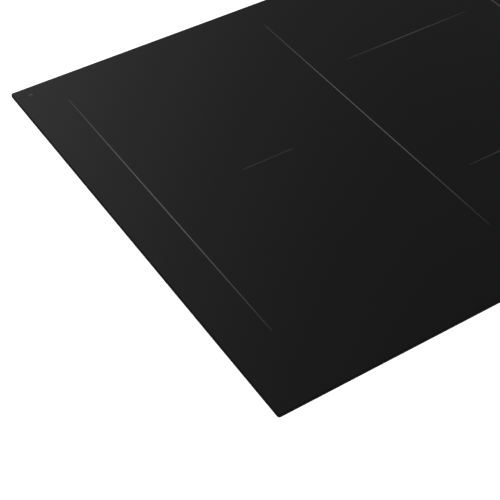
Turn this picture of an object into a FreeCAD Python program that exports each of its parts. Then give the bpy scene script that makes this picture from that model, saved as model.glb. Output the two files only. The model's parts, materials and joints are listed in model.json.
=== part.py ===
import FreeCAD, Part
import os
from math import cos, radians, sin
from types import SimpleNamespace

import Sketcher

# A built-in induction hob: a frameless glass-ceramic plate on a stepped sheet-metal housing.
# Millimetres. X runs to the right, Y from the front edge to the back, Z up. The origin is at the
# middle of the hob's footprint, on the level of the housing's underside.

DIMENSIONS = {
    # glass-ceramic plate
    "plate_width": 600.0,
    "plate_depth": 520.0,
    "plate_thickness": 4.0,
    "plate_corner": 2.5,
    "plate_top_round": 0.5,
    "plate_under_bevel": 0.5,
    "housing_height": 52.0,
    # foam strip that seats on the worktop
    "gasket_inset": 3.0,
    "gasket_corner": 1.5,
    "gasket_width": 8.0,
    "gasket_thickness": 2.5,
    # silicone bead and folded frame under the plate
    "bead_inset": 3.0,
    "bead_corner": 4.0,
    "bead_width": 8.0,
    "bead_thickness": 1.0,
    "sheet_thickness": 0.8,
    "frame_flange_width": 14.0,
    "frame_skirt_depth": 14.0,
    "frame_fit_gap": 0.1,
    # upper pan
    "pan_inset_x": 24.0,
    "pan_inset_y": 19.0,
    "pan_corner": 7.0,
    "pan_top_gap": 0.2,
    "cable_hole_radius": 7.0,
    "vent_width": 3.0,
    "vent_height": 10.0,
    "vent_pitch": 8.0,
    # lower tray
    "tray_height": 26.0,
    "tray_ledge_x": 36.0,
    "tray_ledge_front": 36.0,
    "tray_ledge_back": 71.0,
    "tray_corner": 6.0,
    "tray_flange_width": 8.0,
    "rib_rise": 1.0,
    "rib_width": 10.0,
    "rib_length": 180.0,
    "rib_corner": 4.0,
    "rib_pitch": 92.0,
    "rib_gap": 0.5,
    # pan-head screws
    "screw_radius": 1.95,
    "screw_hole_radius": 2.1,
    "screw_length": 6.0,
    "screw_head_radius": 3.5,
    "screw_head_height": 2.0,
    "screw_recess_width": 0.9,
    "screw_recess_span": 4.0,
    "screw_recess_depth": 1.1,
    "side_screw_drop": 8.0,
    # cooking zones
    "zone_offset_x": 125.3,
    "left_zone_width": 224.0,
    "left_zone_depth": 180.0,
    "left_zone_corner": 70.0,
    "left_front_y": -78.0,
    "left_rear_y": 119.0,
    "right_front_radius": 78.0,
    "right_front_y": -98.0,
    "right_rear_radius": 98.0,
    "right_rear_y": 113.0,
    "winding_hole": 22.0,
    "winding_hole_corner": 18.0,
    "coil_rim": 2.0,
    # layers of a coil assembly, from the plate down
    "coil_travel_gap": 0.3,
    "mica_thickness": 0.5,
    "winding_thickness": 4.5,
    "former_thickness": 2.5,
    "ferrite_thickness": 4.0,
    "ferrite_width": 12.0,
    "ferrite_end_gap": 5.0,
    "ferrite_start": 24.0,
    "shield_thickness": 1.5,
    "shield_margin": 6.0,
    "shield_corner": 8.0,
    "sensor_hole": 9.0,
    "spring_corner_inset": 12.0,
    "spring_radius": 5.5,
    "spring_wire": 1.0,
    "peg_radius": 2.5,
    "peg_gap": 0.4,
    "peg_rise": 2.0,
    # power boards
    "board_offset_x": 122.0,
    "board_y": -70.0,
    "board_width": 200.0,
    "board_depth": 240.0,
    "board_thickness": 1.6,
    "board_corner_inset": 8.0,
    "boss_radius": 4.0,
    "boss_height": 4.2,
    "carrier_margin": 6.0,
    "carrier_thickness": 2.0,
    "heat_sink_offset": 56.0,
    "heat_sink_width": 44.0,
    "heat_sink_length": 200.0,
    "heat_sink_base": 4.0,
    "heat_sink_fin": 1.4,
    "heat_sink_fin_height": 11.0,
    "capacitor_width": 40.0,
    "capacitor_depth": 22.0,
    "capacitor_height": 14.0,
    "can_radius": 10.0,
    "choke_radius": 15.0,
    "choke_hole": 6.0,
    "choke_height": 13.0,
    "transistor_width": 14.0,
    "transistor_depth": 18.0,
    "transistor_height": 4.5,
    # mains filter
    "filter_y": 118.0,
    "filter_width": 104.0,
    "filter_depth": 70.0,
    # fans
    "fan_offset_x": 135.0,
    "fan_y": 115.0,
    "fan_case_width": 90.0,
    "fan_case_height": 17.0,
    "fan_base": 2.0,
    "fan_bore": 41.0,
    "fan_intake": 38.0,
    "fan_tip_gap": 2.0,
    "fan_hub_radius": 14.0,
    "fan_hub_gap": 0.5,
    "fan_motor_height": 4.5,
    "fan_strut_width": 4.0,
    "fan_shaft_radius": 1.5,
    "fan_shaft_gap": 0.05,
    "fan_shaft_depth": 3.0,
    "fan_blade_chord": 13.0,
    "fan_blade_thickness": 1.3,
    "grille_slot": 3.0,
    "grille_pitch": 7.0,
    "grille_length": 66.0,
    # touch control unit
    "touch_width": 300.0,
    "touch_depth": 34.0,
    "touch_front_gap": 5.0,
    "touch_wall": 1.6,
    "touch_height": 9.0,
    "touch_glass_gap": 1.2,
    "touch_board_drop": 3.6,
    "touch_leg_radius": 3.0,
    "key_radius": 3.0,
    "key_pitch": 20.0,
    "display_width": 22.0,
    "display_depth": 10.0,
    "display_height": 2.6,
    # mains terminal box under the back of the pan
    "terminal_x": -120.0,
    "terminal_width": 112.0,
    "terminal_depth": 56.0,
    "terminal_height": 22.0,
    "terminal_wall": 2.0,
    "terminal_back_gap": 5.0,
    "terminal_ear": 9.0,
    "hinge_radius": 2.2,
    "hinge_pin_radius": 1.2,
    "hinge_pin_length": 3.0,
    "hinge_gap": 0.05,
    "hinge_side_gap": 0.4,
    "lid_gap": 0.4,
    "lid_tab_width": 14.0,
    "cord_hole_radius": 6.0,
    "cord_spigot_radius": 8.5,
    "cord_spigot_length": 8.0,
    "cord_offset_y": 2.0,
    "saddle_height": 1.0,
    "block_width": 58.0,
    "block_depth": 18.0,
    "block_height": 11.0,
    "block_pitch": 11.0,
    "block_screw_radius": 3.0,
    "block_screw_gap": 0.3,
    "block_screw_seat": 7.7,
    "block_head_height": 2.0,
    "block_wall_gap": 1.0,
    # cord clamp inside the terminal box
    "jaw_offset": 12.0,
    "jaw_width": 9.0,
    "jaw_length": 30.0,
    "jaw_height": 4.0,
    "jaw_screw_radius": 1.5,
    "jaw_screw_gap": 0.05,
    "jaw_screw_spacing": 22.0,
    "jaw_head_height": 2.0,
    "jaw_roof_gap": 0.6,
    # swing clamps that hold the hob down
    "clamp_y": 150.0,
    "clamp_edge_gap": 14.0,
    "clamp_bolt_radius": 2.5,
    "clamp_bolt_gap": 0.05,
    "clamp_bolt_reach": 4.0,
    "clamp_head_radius": 4.6,
    "clamp_head_height": 3.5,
    "clamp_hub_radius": 6.5,
    "clamp_end_gap": 0.3,
    "clamp_hub_height": 10.0,
    "clamp_arm_length": 34.0,
    "clamp_arm_width": 12.0,
    "clamp_arm_thickness": 2.5,
    "clamp_lip_height": 6.0,
    "clamp_lip_thickness": 2.5,
}

# How far a joined shape reaches into its neighbour, and a cutter past the face it opens.
OVERLAP = 1.0
# Edges count as flat at a height within this distance.
LEVEL_TOLERANCE = 1e-6

FERRITES_PER_COIL = 8
FORMER_WINDOW_SHARE = 0.2
FAN_BLADES = 7
BLADE_PITCH_ANGLE = 38.0
KEY_COUNT = 12
TERMINAL_COUNT = 5
HEAT_SINK_FINS = 8
GRILLE_SLOTS = 10

# Vents stand this many pitches to each side of a wall's middle; the pan's row is broken in the middle.
PAN_VENT_REACH = 24
PAN_VENT_BREAK = 1
TRAY_SIDE_VENT_REACH = 18
TRAY_FRONT_VENT_REACH = 22

# Places along a side, as shares of half its length; the ribs' places are in pitches from the middle.
TRAY_SIDE_SCREWS = (-0.9, 0, 0.9)
TRAY_END_SCREWS = (-0.85, 0.85)
PAN_SIDE_SCREWS = (-0.7, 0.7)
PAN_END_SCREWS = (-0.75, 0, 0.75)
RIB_STEPS = (-1.5, -0.5, 0.5, 1.5)
DISPLAY_SHARES = (-0.35, -0.12, 0.12, 0.35)
SIDES = {"left": -1, "right": 1}
ENDS = {"front": -1, "rear": 1}

# Parts on a power board: kind, then the offset from the board's middle. X points to the hob's middle.
BOARD_LAYOUT = (
    ("capacitor", -70, -95),
    ("capacitor", -70, -66),
    ("capacitor", -70, -37),
    ("can", -80, -5),
    ("can", -56, -5),
    ("can", -80, 22),
    ("can", -56, 22),
    ("choke", -66, 60),
    ("choke", -18, 90),
    ("choke", -18, 54),
    ("transistor", 18, -75),
    ("transistor", 18, -45),
    ("transistor", 18, -15),
    ("transistor", 18, 15),
)
FILTER_LAYOUT = (
    ("choke", -32, 12),
    ("choke", 2, 12),
    ("capacitor", 28, -20),
    ("capacitor", -22, -20),
    ("can", 34, 12),
)

TOWARDS = {
    "+z": FreeCAD.Rotation(),
    "-z": FreeCAD.Rotation(FreeCAD.Vector(1, 0, 0), 180),
    "+x": FreeCAD.Rotation(FreeCAD.Vector(0, 1, 0), 90),
    "-x": FreeCAD.Rotation(FreeCAD.Vector(0, 1, 0), -90),
    "+y": FreeCAD.Rotation(FreeCAD.Vector(1, 0, 0), -90),
    "-y": FreeCAD.Rotation(FreeCAD.Vector(1, 0, 0), 90),
}


class Size:
    """A length that knows its formula over the sheet's cells and its value."""

    def __init__(self, formula, value):
        self.formula = formula
        self.value = value

    @staticmethod
    def of(number):
        if isinstance(number, Size):
            return number
        return Size(f"({number:.9g})", float(number))

    def joined(self, sign, other, value):
        return Size(f"({self.formula} {sign} {other.formula})", value)

    def __add__(self, number):
        other = Size.of(number)
        return self.joined("+", other, self.value + other.value)

    def __radd__(self, number):
        return Size.of(number) + self

    def __sub__(self, number):
        other = Size.of(number)
        return self.joined("-", other, self.value - other.value)

    def __rsub__(self, number):
        return Size.of(number) - self

    def __mul__(self, number):
        other = Size.of(number)
        return self.joined("*", other, self.value * other.value)

    def __rmul__(self, number):
        return Size.of(number) * self

    def __truediv__(self, number):
        other = Size.of(number)
        return self.joined("/", other, self.value / other.value)

    def __neg__(self):
        return 0 - self


doc = FreeCAD.newDocument("induction_hob")
sheet = doc.addObject("Spreadsheet::Sheet", "Sizes")
for row, (alias, number) in enumerate(DIMENSIONS.items(), start=1):
    sheet.set(f"A{row}", alias)
    sheet.set(f"B{row}", str(number))
    sheet.setAlias(f"B{row}", alias)
doc.recompute()

d = SimpleNamespace(**{name: Size(f"Sizes.{name}", number) for name, number in DIMENSIONS.items()})
nodes = []


# ---------------------------------------------------------------- building helpers


def node(item, name):
    """Register a finished sub-part under its file's name."""
    item.Label = name
    nodes.append(item)
    return item


def move(item, place):
    for axis, length in zip("xyz", place):
        item.setExpression(f"Placement.Base.{axis}", Size.of(length).formula)
    return item


def block(name, low, extent):
    """A box from its lowest corner and its extent along X, Y and Z."""
    item = doc.addObject("Part::Box", name)
    for side, length in zip(("Length", "Width", "Height"), extent):
        item.setExpression(side, Size.of(length).formula)
    return move(item, low)


def slab(name, centre, low, extent):
    """A box centred on an X and Y place, standing on a height."""
    corner = (centre[0] - extent[0] / 2, centre[1] - extent[1] / 2, low)
    return block(name, corner, extent)


def rod(name, start, length, radius, towards="+z"):
    item = doc.addObject("Part::Cylinder", name)
    item.setExpression("Radius", Size.of(radius).formula)
    item.setExpression("Height", Size.of(length).formula)
    item.Placement = FreeCAD.Placement(FreeCAD.Vector(), TOWARDS[towards])
    return move(item, start)


def cut(name, base, tools):
    item = doc.addObject("Part::Cut", name)
    item.Base = base
    item.Tool = tools[0] if len(tools) == 1 else bundle(f"{name}_tools", tools)
    return item


def fuse(name, parts):
    item = doc.addObject("Part::MultiFuse", name)
    item.Shapes = parts
    return item


def bundle(name, parts):
    """Separate solids kept side by side in one object."""
    item = doc.addObject("Part::Compound", name)
    item.Links = parts
    return item


def tube(name, start, length, outer, inner):
    return cut(name, rod(f"{name}_outer", start, length, outer), [rod(f"{name}_bore", start, length, inner)])


def new_body(name):
    return doc.addObject("PartDesign::Body", name)


def sketch_at(body, height):
    """A sketch on the body's own XY plane, lifted to a height."""
    plane = next(item for item in body.Origin.OriginFeatures if item.Role == "XY_Plane")
    sketch = body.newObject("Sketcher::SketchObject", f"{body.Name}_sketch")
    sketch.AttachmentSupport = [(plane, "")]
    sketch.MapMode = "FlatFace"
    sketch.setExpression("AttachmentOffset.Base.z", Size.of(height).formula)
    return sketch


def dimension(sketch, constraint, length):
    index = sketch.addConstraint(constraint)
    sketch.renameConstraint(index, f"size_{index}")
    sketch.setExpression(f"Constraints.size_{index}", Size.of(length).formula)


def draw_circle(sketch, centre, radius):
    x, y, r = (Size.of(length) for length in (*centre, radius))
    circle = Part.Circle(FreeCAD.Vector(x.value, y.value, 0), FreeCAD.Vector(0, 0, 1), r.value)
    index = sketch.addGeometry(circle, False)
    dimension(sketch, Sketcher.Constraint("DistanceX", -1, 1, index, 3, x.value), x)
    dimension(sketch, Sketcher.Constraint("DistanceY", -1, 1, index, 3, y.value), y)
    dimension(sketch, Sketcher.Constraint("Radius", index, r.value), r)


def draw_rounded(sketch, centre, half, corner):
    """A rectangle with four tangent corner arcs, from its middle, half sizes and corner radius."""
    cx, cy, hx, hy, r = (Size.of(length) for length in (*centre, *half, corner))
    west, east, south, north = cx - hx, cx + hx, cy - hy, cy + hy
    x0, x1, y0, y1, rv = west.value, east.value, south.value, north.value, r.value
    runs = (
        ((x0 + rv, y0), (x1 - rv, y0), (x1 - rv, y0 + rv), -90),
        ((x1, y0 + rv), (x1, y1 - rv), (x1 - rv, y1 - rv), 0),
        ((x1 - rv, y1), (x0 + rv, y1), (x0 + rv, y1 - rv), 90),
        ((x0, y1 - rv), (x0, y0 + rv), (x0 + rv, y0 + rv), 180),
    )
    first = sketch.GeometryCount
    for start, end, middle, angle in runs:
        sketch.addGeometry(Part.LineSegment(FreeCAD.Vector(*start), FreeCAD.Vector(*end)), False)
        circle = Part.Circle(FreeCAD.Vector(*middle), FreeCAD.Vector(0, 0, 1), rv)
        sketch.addGeometry(Part.ArcOfCircle(circle, radians(angle), radians(angle + 90)), False)
    for step in range(8):
        follower = first + (step + 1) % 8
        sketch.addConstraint(Sketcher.Constraint("Tangent", first + step, 2, follower, 1))
    for step, kind in ((0, "Horizontal"), (4, "Horizontal"), (2, "Vertical"), (6, "Vertical")):
        sketch.addConstraint(Sketcher.Constraint(kind, first + step))
    for step in (3, 5, 7):
        sketch.addConstraint(Sketcher.Constraint("Equal", first + 1, first + step))
    dimension(sketch, Sketcher.Constraint("Radius", first + 1, rv), r)
    dimension(sketch, Sketcher.Constraint("DistanceX", -1, 1, first + 6, 1, x0), west)
    dimension(sketch, Sketcher.Constraint("DistanceX", -1, 1, first + 2, 1, x1), east)
    dimension(sketch, Sketcher.Constraint("DistanceY", -1, 1, first, 1, y0), south)
    dimension(sketch, Sketcher.Constraint("DistanceY", -1, 1, first + 4, 1, y1), north)


def pad(body, sketch, length):
    feature = body.newObject("PartDesign::Pad", f"{body.Name}_pad")
    feature.Profile = sketch
    feature.setExpression("Length", Size.of(length).formula)
    doc.recompute()
    return feature


def pocket(body, sketch, depth):
    """Cut down from the sketch; the body has to lose volume."""
    before = body.Shape.Volume
    feature = body.newObject("PartDesign::Pocket", f"{body.Name}_pocket")
    feature.Profile = sketch
    feature.setExpression("Length", Size.of(depth).formula)
    doc.recompute()
    if body.Shape.Volume >= before:
        raise ValueError(f"{body.Name}: a pocket cut nothing")
    return feature


def edges_at(shape, height):
    """Names of the edges that lie flat at a height."""
    names = []
    for index, edge in enumerate(shape.Edges, start=1):
        box = edge.BoundBox
        if max(abs(box.ZMin - height), abs(box.ZMax - height)) < LEVEL_TOLERANCE:
            names.append(f"Edge{index}")
    return names


def rounded_ring(name, low, height, outer_half, outer_corner, width):
    """A rectangular ring with rounded corners, such as a gasket or a bead."""
    body = new_body(name)
    sketch = sketch_at(body, low)
    draw_rounded(sketch, (0, 0), outer_half, outer_corner)
    inner_half = (outer_half[0] - width, outer_half[1] - width)
    draw_rounded(sketch, (0, 0), inner_half, outer_corner)
    pad(body, sketch, height)
    return body


def screw(name, seat, towards):
    """A pan-head screw whose head rests on the seat; the shank runs towards the given side."""
    back = {"+": "-", "-": "+"}[towards[0]] + towards[1]
    shank = rod(f"{name}_shank", seat, d.screw_length, d.screw_radius, towards)
    head = rod(f"{name}_head", seat, d.screw_head_height, d.screw_head_radius, back)
    bars = []
    axis = "xyz".index(towards[1])
    sign = 1 if back[0] == "+" else -1
    floor = d.screw_head_height - d.screw_recess_depth
    for long_axis in {0, 1, 2} - {axis}:
        extent = [d.screw_recess_width] * 3
        extent[long_axis] = d.screw_recess_span
        extent[axis] = d.screw_recess_depth
        low = [place - length / 2 for place, length in zip(seat, extent)]
        low[axis] = seat[axis] + floor if sign > 0 else seat[axis] - d.screw_head_height
        bars.append(block(f"{name}_recess", low, extent))
    return cut(name, fuse(f"{name}_blank", [head, shank]), bars)


# ---------------------------------------------------------------- shared places

plate_half = (d.plate_width / 2, d.plate_depth / 2)
frame_top = d.housing_height - d.bead_thickness
flange_under = frame_top - d.sheet_thickness
pan_half = (plate_half[0] - d.pan_inset_x, plate_half[1] - d.pan_inset_y)
pan_inner_half = tuple(half - d.sheet_thickness for half in pan_half)
pan_top = flange_under - d.pan_top_gap
pan_floor_top = d.tray_height + d.sheet_thickness
tray_front = -pan_half[1] + d.tray_ledge_front
tray_back = pan_half[1] - d.tray_ledge_back
tray_half = (pan_half[0] - d.tray_ledge_x, (tray_back - tray_front) / 2)
tray_centre = (Size.of(0), (tray_back + tray_front) / 2)
flange_low = d.tray_height - d.sheet_thickness
side_screw_z = flange_under - d.side_screw_drop

mica_top = d.housing_height - d.coil_travel_gap
winding_top = mica_top - d.mica_thickness
former_top = winding_top - d.winding_thickness
ferrite_top = former_top - d.former_thickness
shield_top = ferrite_top - d.ferrite_thickness
shield_low = shield_top - d.shield_thickness

zones = []
for end in ENDS:
    zones.append(
        SimpleNamespace(
            name=f"left_{end}",
            centre=(-d.zone_offset_x, getattr(d, f"left_{end}_y")),
            half=(d.left_zone_width / 2, d.left_zone_depth / 2),
            corner=d.left_zone_corner,
        )
    )
    radius = getattr(d, f"right_{end}_radius")
    zones.append(
        SimpleNamespace(
            name=f"right_{end}",
            centre=(d.zone_offset_x, getattr(d, f"right_{end}_y")),
            half=(radius, radius),
            corner=None,
        )
    )
for zone in zones:
    reach = [half + d.shield_margin - d.spring_corner_inset for half in zone.half]
    zone.springs = [
        (zone.centre[0] + sx * reach[0], zone.centre[1] + sy * reach[1]) for sx in (-1, 1) for sy in (-1, 1)
    ]

tray_screw_places = []
for sx in (-1, 1):
    edge = sx * (tray_half[0] + d.tray_flange_width / 2)
    tray_screw_places += [(edge, tray_centre[1] + share * tray_half[1]) for share in TRAY_SIDE_SCREWS]
for edge in (tray_front - d.tray_flange_width / 2, tray_back + d.tray_flange_width / 2):
    tray_screw_places += [(share * tray_half[0], edge) for share in TRAY_END_SCREWS]

side_screw_places = []
for sign in (-1, 1):
    inward = "-x" if sign > 0 else "+x"
    side_screw_places += [((sign * pan_half[0], share * pan_half[1]), inward) for share in PAN_SIDE_SCREWS]
    inward = "-y" if sign > 0 else "+y"
    side_screw_places += [((share * pan_half[0], sign * pan_half[1]), inward) for share in PAN_END_SCREWS]

clamp_places = {
    f"{end}_{side}": (sx * (pan_half[0] - d.clamp_edge_gap), sy * d.clamp_y)
    for end, sy in ENDS.items()
    for side, sx in SIDES.items()
}

terminal_back = pan_half[1] - d.terminal_back_gap
terminal_low = d.tray_height - d.terminal_height
terminal_y = terminal_back - d.terminal_depth / 2
terminal_left = d.terminal_x - d.terminal_width / 2
terminal_floor = terminal_low + d.terminal_wall
ear_places = [
    (d.terminal_x + sx * (d.terminal_width / 2 + d.terminal_ear / 2), terminal_y) for sx in (-1, 1)
]


# ---------------------------------------------------------------- plate, gasket, bead and frame

plate = new_body("plate")
plate_sketch = sketch_at(plate, d.housing_height)
draw_rounded(plate_sketch, (0, 0), plate_half, d.plate_corner)
plate_pad = pad(plate, plate_sketch, d.plate_thickness)
top_round = plate.newObject("PartDesign::Fillet", "plate_top_round")
top_level = (d.housing_height + d.plate_thickness).value
top_round.Base = (plate_pad, edges_at(plate_pad.Shape, top_level))
top_round.setExpression("Radius", d.plate_top_round.formula)
doc.recompute()
under_bevel = plate.newObject("PartDesign::Chamfer", "plate_under_bevel")
under_bevel.Base = (top_round, edges_at(top_round.Shape, d.housing_height.value))
under_bevel.setExpression("Size", d.plate_under_bevel.formula)
node(plate, "glass_top")

gasket = rounded_ring(
    "gasket",
    d.housing_height - d.gasket_thickness,
    d.gasket_thickness,
    tuple(half - d.gasket_inset for half in plate_half),
    d.gasket_corner,
    d.gasket_width,
)
node(gasket, "worktop_gasket")

bead_half = tuple(half - d.bead_inset for half in pan_half)
bead = rounded_ring("bead", frame_top, d.bead_thickness, bead_half, d.bead_corner, d.bead_width)
node(bead, "glass_bead")

frame = rounded_ring("frame", flange_under, d.sheet_thickness, pan_half, d.pan_corner, d.frame_flange_width)
skirt_half = tuple(half - d.frame_fit_gap for half in pan_inner_half)
skirt_corner = d.pan_corner - d.sheet_thickness - d.frame_fit_gap
skirt_inner_half = tuple(half - d.sheet_thickness for half in skirt_half)
skirt_sketch = sketch_at(frame, flange_under - d.frame_skirt_depth)
draw_rounded(skirt_sketch, (0, 0), skirt_half, skirt_corner)
draw_rounded(skirt_sketch, (0, 0), skirt_inner_half, skirt_corner - d.sheet_thickness)
pad(frame, skirt_sketch, d.frame_skirt_depth)


def wall_holes(name):
    """Bores for the side screws, through the pan's wall and the frame's skirt."""
    depth = 2 * (2 * d.sheet_thickness + d.frame_fit_gap)
    return [
        rod(name, (place[0], place[1], side_screw_z), depth, d.screw_hole_radius, inward)
        for place, inward in side_screw_places
    ]


node(cut("frame_drilled", frame, wall_holes("frame_hole")), "glass_frame")


# ---------------------------------------------------------------- upper pan

pan = new_body("pan")
pan_sketch = sketch_at(pan, d.tray_height)
draw_rounded(pan_sketch, (0, 0), pan_half, d.pan_corner)
pad(pan, pan_sketch, pan_top - d.tray_height)
pan_well = sketch_at(pan, pan_top)
draw_rounded(pan_well, (0, 0), pan_inner_half, d.pan_corner - d.sheet_thickness)
pocket(pan, pan_well, pan_top - pan_floor_top)

bolt_hole_radius = d.clamp_bolt_radius + d.clamp_bolt_gap
floor_deep = 2 * d.sheet_thickness
floor_low = d.tray_height - d.sheet_thickness / 2
pan_tools = wall_holes("pan_hole")
for x, y in tray_screw_places + ear_places:
    pan_tools.append(rod("pan_screw_hole", (x, y, floor_low), floor_deep, d.screw_hole_radius))
for x, y in clamp_places.values():
    pan_tools.append(rod("pan_bolt_hole", (x, y, floor_low), floor_deep, bolt_hole_radius))
for zone in zones:
    pan_tools.append(rod("pan_cable_hole", (*zone.centre, floor_low), floor_deep, d.cable_hole_radius))
mains_hole = (d.terminal_x + d.block_width / 2, terminal_y, floor_low)
pan_tools.append(rod("pan_mains_hole", mains_hole, floor_deep, d.cable_hole_radius))
vent_low = pan_floor_top + d.sheet_thickness
vent_depth = 4 * d.sheet_thickness
for step in range(-PAN_VENT_REACH, PAN_VENT_REACH + 1):
    if abs(step) > PAN_VENT_BREAK:
        low = (step * d.vent_pitch - d.vent_width / 2, pan_half[1] - vent_depth / 2, vent_low)
        pan_tools.append(block("pan_vent", low, (d.vent_width, vent_depth, d.vent_height)))

pan_extras = []
for zone in zones:
    for x, y in zone.springs:
        height = shield_top + d.peg_rise - pan_floor_top
        pan_extras.append(rod("pan_peg", (x, y, pan_floor_top), height, d.peg_radius))
collar_radius = d.clamp_bolt_radius + 2 * d.sheet_thickness
for x, y in clamp_places.values():
    collar = tube(
        "pan_collar",
        (x, y, pan_floor_top),
        d.clamp_bolt_reach,
        collar_radius,
        bolt_hole_radius,
    )
    pan_extras.append(collar)
pan_drilled = cut("pan_drilled", pan, pan_tools)
node(fuse("pan_complete", [pan_drilled] + pan_extras), "upper_pan")


# ---------------------------------------------------------------- lower tray

tray = new_body("tray")
tray_sketch = sketch_at(tray, 0)
draw_rounded(tray_sketch, tray_centre, tray_half, d.tray_corner)
pad(tray, tray_sketch, d.tray_height)
tray_well = sketch_at(tray, d.tray_height)
tray_inner_half = tuple(half - d.sheet_thickness for half in tray_half)
draw_rounded(tray_well, tray_centre, tray_inner_half, d.tray_corner - d.sheet_thickness)
pocket(tray, tray_well, d.tray_height - d.sheet_thickness)
tray_lip = sketch_at(tray, flange_low)
tray_lip_half = tuple(half + d.tray_flange_width for half in tray_half)
draw_rounded(tray_lip, tray_centre, tray_lip_half, d.tray_corner)
draw_rounded(tray_lip, tray_centre, tray_inner_half, d.tray_corner - d.sheet_thickness)
pad(tray, tray_lip, d.sheet_thickness)

# Long stiffening ribs, pressed up into the tray's floor.
rib_places = [(step * d.rib_pitch, d.board_y) for step in RIB_STEPS]
rib_half = (d.rib_width / 2, d.rib_length / 2)
rib_sketch = sketch_at(tray, d.sheet_thickness)
groove_sketch = sketch_at(tray, d.rib_rise)
for place in rib_places:
    draw_rounded(rib_sketch, place, rib_half, d.rib_corner)
    groove_half = tuple(half - d.sheet_thickness for half in rib_half)
    draw_rounded(groove_sketch, place, groove_half, d.rib_corner - d.sheet_thickness)
pad(tray, rib_sketch, d.rib_rise)
pocket(tray, groove_sketch, d.rib_rise)

tray_tools = []
lip_hole_low = flange_low - d.sheet_thickness / 2
for x, y in tray_screw_places:
    tray_tools.append(rod("tray_hole", (x, y, lip_hole_low), floor_deep, d.screw_hole_radius))
louvre_low = d.tray_height / 2 - d.vent_height / 2
for step in range(-TRAY_SIDE_VENT_REACH, TRAY_SIDE_VENT_REACH + 1):
    for sx in (-1, 1):
        low = (
            sx * tray_half[0] - vent_depth / 2,
            tray_centre[1] + step * d.vent_pitch - d.vent_width / 2,
            louvre_low,
        )
        tray_tools.append(block("tray_side_vent", low, (vent_depth, d.vent_width, d.vent_height)))
for step in range(-TRAY_FRONT_VENT_REACH, TRAY_FRONT_VENT_REACH + 1):
    low = (step * d.vent_pitch - d.vent_width / 2, tray_front - vent_depth / 2, louvre_low)
    tray_tools.append(block("tray_front_vent", low, (d.vent_width, vent_depth, d.vent_height)))
for sx in SIDES.values():
    for step in range(GRILLE_SLOTS):
        y = d.fan_y + (step - (GRILLE_SLOTS - 1) / 2) * d.grille_pitch
        slot = (d.grille_length, d.grille_slot, 2 * d.sheet_thickness)
        tray_tools.append(slab("tray_grille", (sx * d.fan_offset_x, y), -d.sheet_thickness / 2, slot))
board_under = d.sheet_thickness + d.carrier_thickness + d.boss_height
filter_corner = (
    d.filter_width / 2 - d.board_corner_inset,
    d.filter_depth / 2 - d.board_corner_inset,
)
pillars = [
    rod(
        "tray_pillar",
        (sx * filter_corner[0], d.filter_y + sy * filter_corner[1], d.sheet_thickness),
        board_under - d.sheet_thickness,
        d.boss_radius,
    )
    for sx in (-1, 1)
    for sy in (-1, 1)
]
node(fuse("tray_complete", [cut("tray_drilled", tray, tray_tools)] + pillars), "lower_housing")

housing_screws = [
    screw("side_screw", (place[0], place[1], side_screw_z), inward) for place, inward in side_screw_places
]
for x, y in tray_screw_places:
    housing_screws.append(screw("tray_screw", (x, y, flange_low), "+z"))
ear_low = d.tray_height - d.terminal_wall
for x, y in ear_places:
    housing_screws.append(screw("ear_screw", (x, y, ear_low), "+z"))
node(bundle("housing_screw_group", housing_screws), "housing_screws")


# ---------------------------------------------------------------- coil assemblies


def draw_zone(sketch, zone, grow):
    """The outline of a zone's coil, oval or round, made larger or smaller all round."""
    if zone.corner is None:
        draw_circle(sketch, zone.centre, zone.half[0] + grow)
    else:
        half = tuple(side + grow for side in zone.half)
        draw_rounded(sketch, zone.centre, half, zone.corner + grow)


def draw_winding_hole(sketch, zone):
    """The winding's inner outline: a circle, or a slot as long as the oval needs."""
    if zone.corner is None:
        draw_circle(sketch, zone.centre, d.winding_hole)
    else:
        stretch = zone.half[0] - zone.half[1]
        half = (d.winding_hole + stretch, d.winding_hole)
        draw_rounded(sketch, zone.centre, half, d.winding_hole_corner)


def coil_mica(zone):
    body = new_body(f"{zone.name}_mica_body")
    sketch = sketch_at(body, winding_top)
    draw_zone(sketch, zone, d.coil_rim)
    draw_circle(sketch, zone.centre, d.sensor_hole)
    pad(body, sketch, d.mica_thickness)
    return body


def coil_winding(zone):
    body = new_body(f"{zone.name}_winding_body")
    sketch = sketch_at(body, former_top)
    draw_zone(sketch, zone, 0)
    draw_winding_hole(sketch, zone)
    pad(body, sketch, d.winding_thickness)
    return body


def coil_former(zone):
    """A moulded disc with a bore for the sensor and windows between its spokes."""
    body = new_body(f"{zone.name}_former_body")
    sketch = sketch_at(body, ferrite_top)
    draw_zone(sketch, zone, d.coil_rim)
    draw_circle(sketch, zone.centre, d.sensor_hole)
    pad(body, sketch, d.former_thickness)
    windows = sketch_at(body, former_top)
    span = zone.half[1] - d.winding_hole
    window = FORMER_WINDOW_SHARE * span
    place = d.winding_hole + span / 2
    for turn in range(FERRITES_PER_COIL):
        angle = radians((turn + 0.5) * 360 / FERRITES_PER_COIL)
        draw_circle(
            windows,
            (zone.centre[0] + place * cos(angle), zone.centre[1] + place * sin(angle)),
            window,
        )
    pocket(body, windows, d.former_thickness)
    return body


def coil_ferrites(zone):
    bars = []
    length = zone.half[1] - d.ferrite_end_gap - d.ferrite_start
    for turn in range(FERRITES_PER_COIL):
        angle = radians(turn * 360 / FERRITES_PER_COIL)
        bar = block(
            f"{zone.name}_bar",
            (
                zone.centre[0] + d.ferrite_start * cos(angle) + d.ferrite_width / 2 * sin(angle),
                zone.centre[1] + d.ferrite_start * sin(angle) - d.ferrite_width / 2 * cos(angle),
                shield_top,
            ),
            (length, d.ferrite_width, d.ferrite_thickness),
        )
        bar.Placement.Rotation = FreeCAD.Rotation(FreeCAD.Vector(0, 0, 1), turn * 360 / FERRITES_PER_COIL)
        bars.append(bar)
    return bundle(f"{zone.name}_bars", bars)


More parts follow.
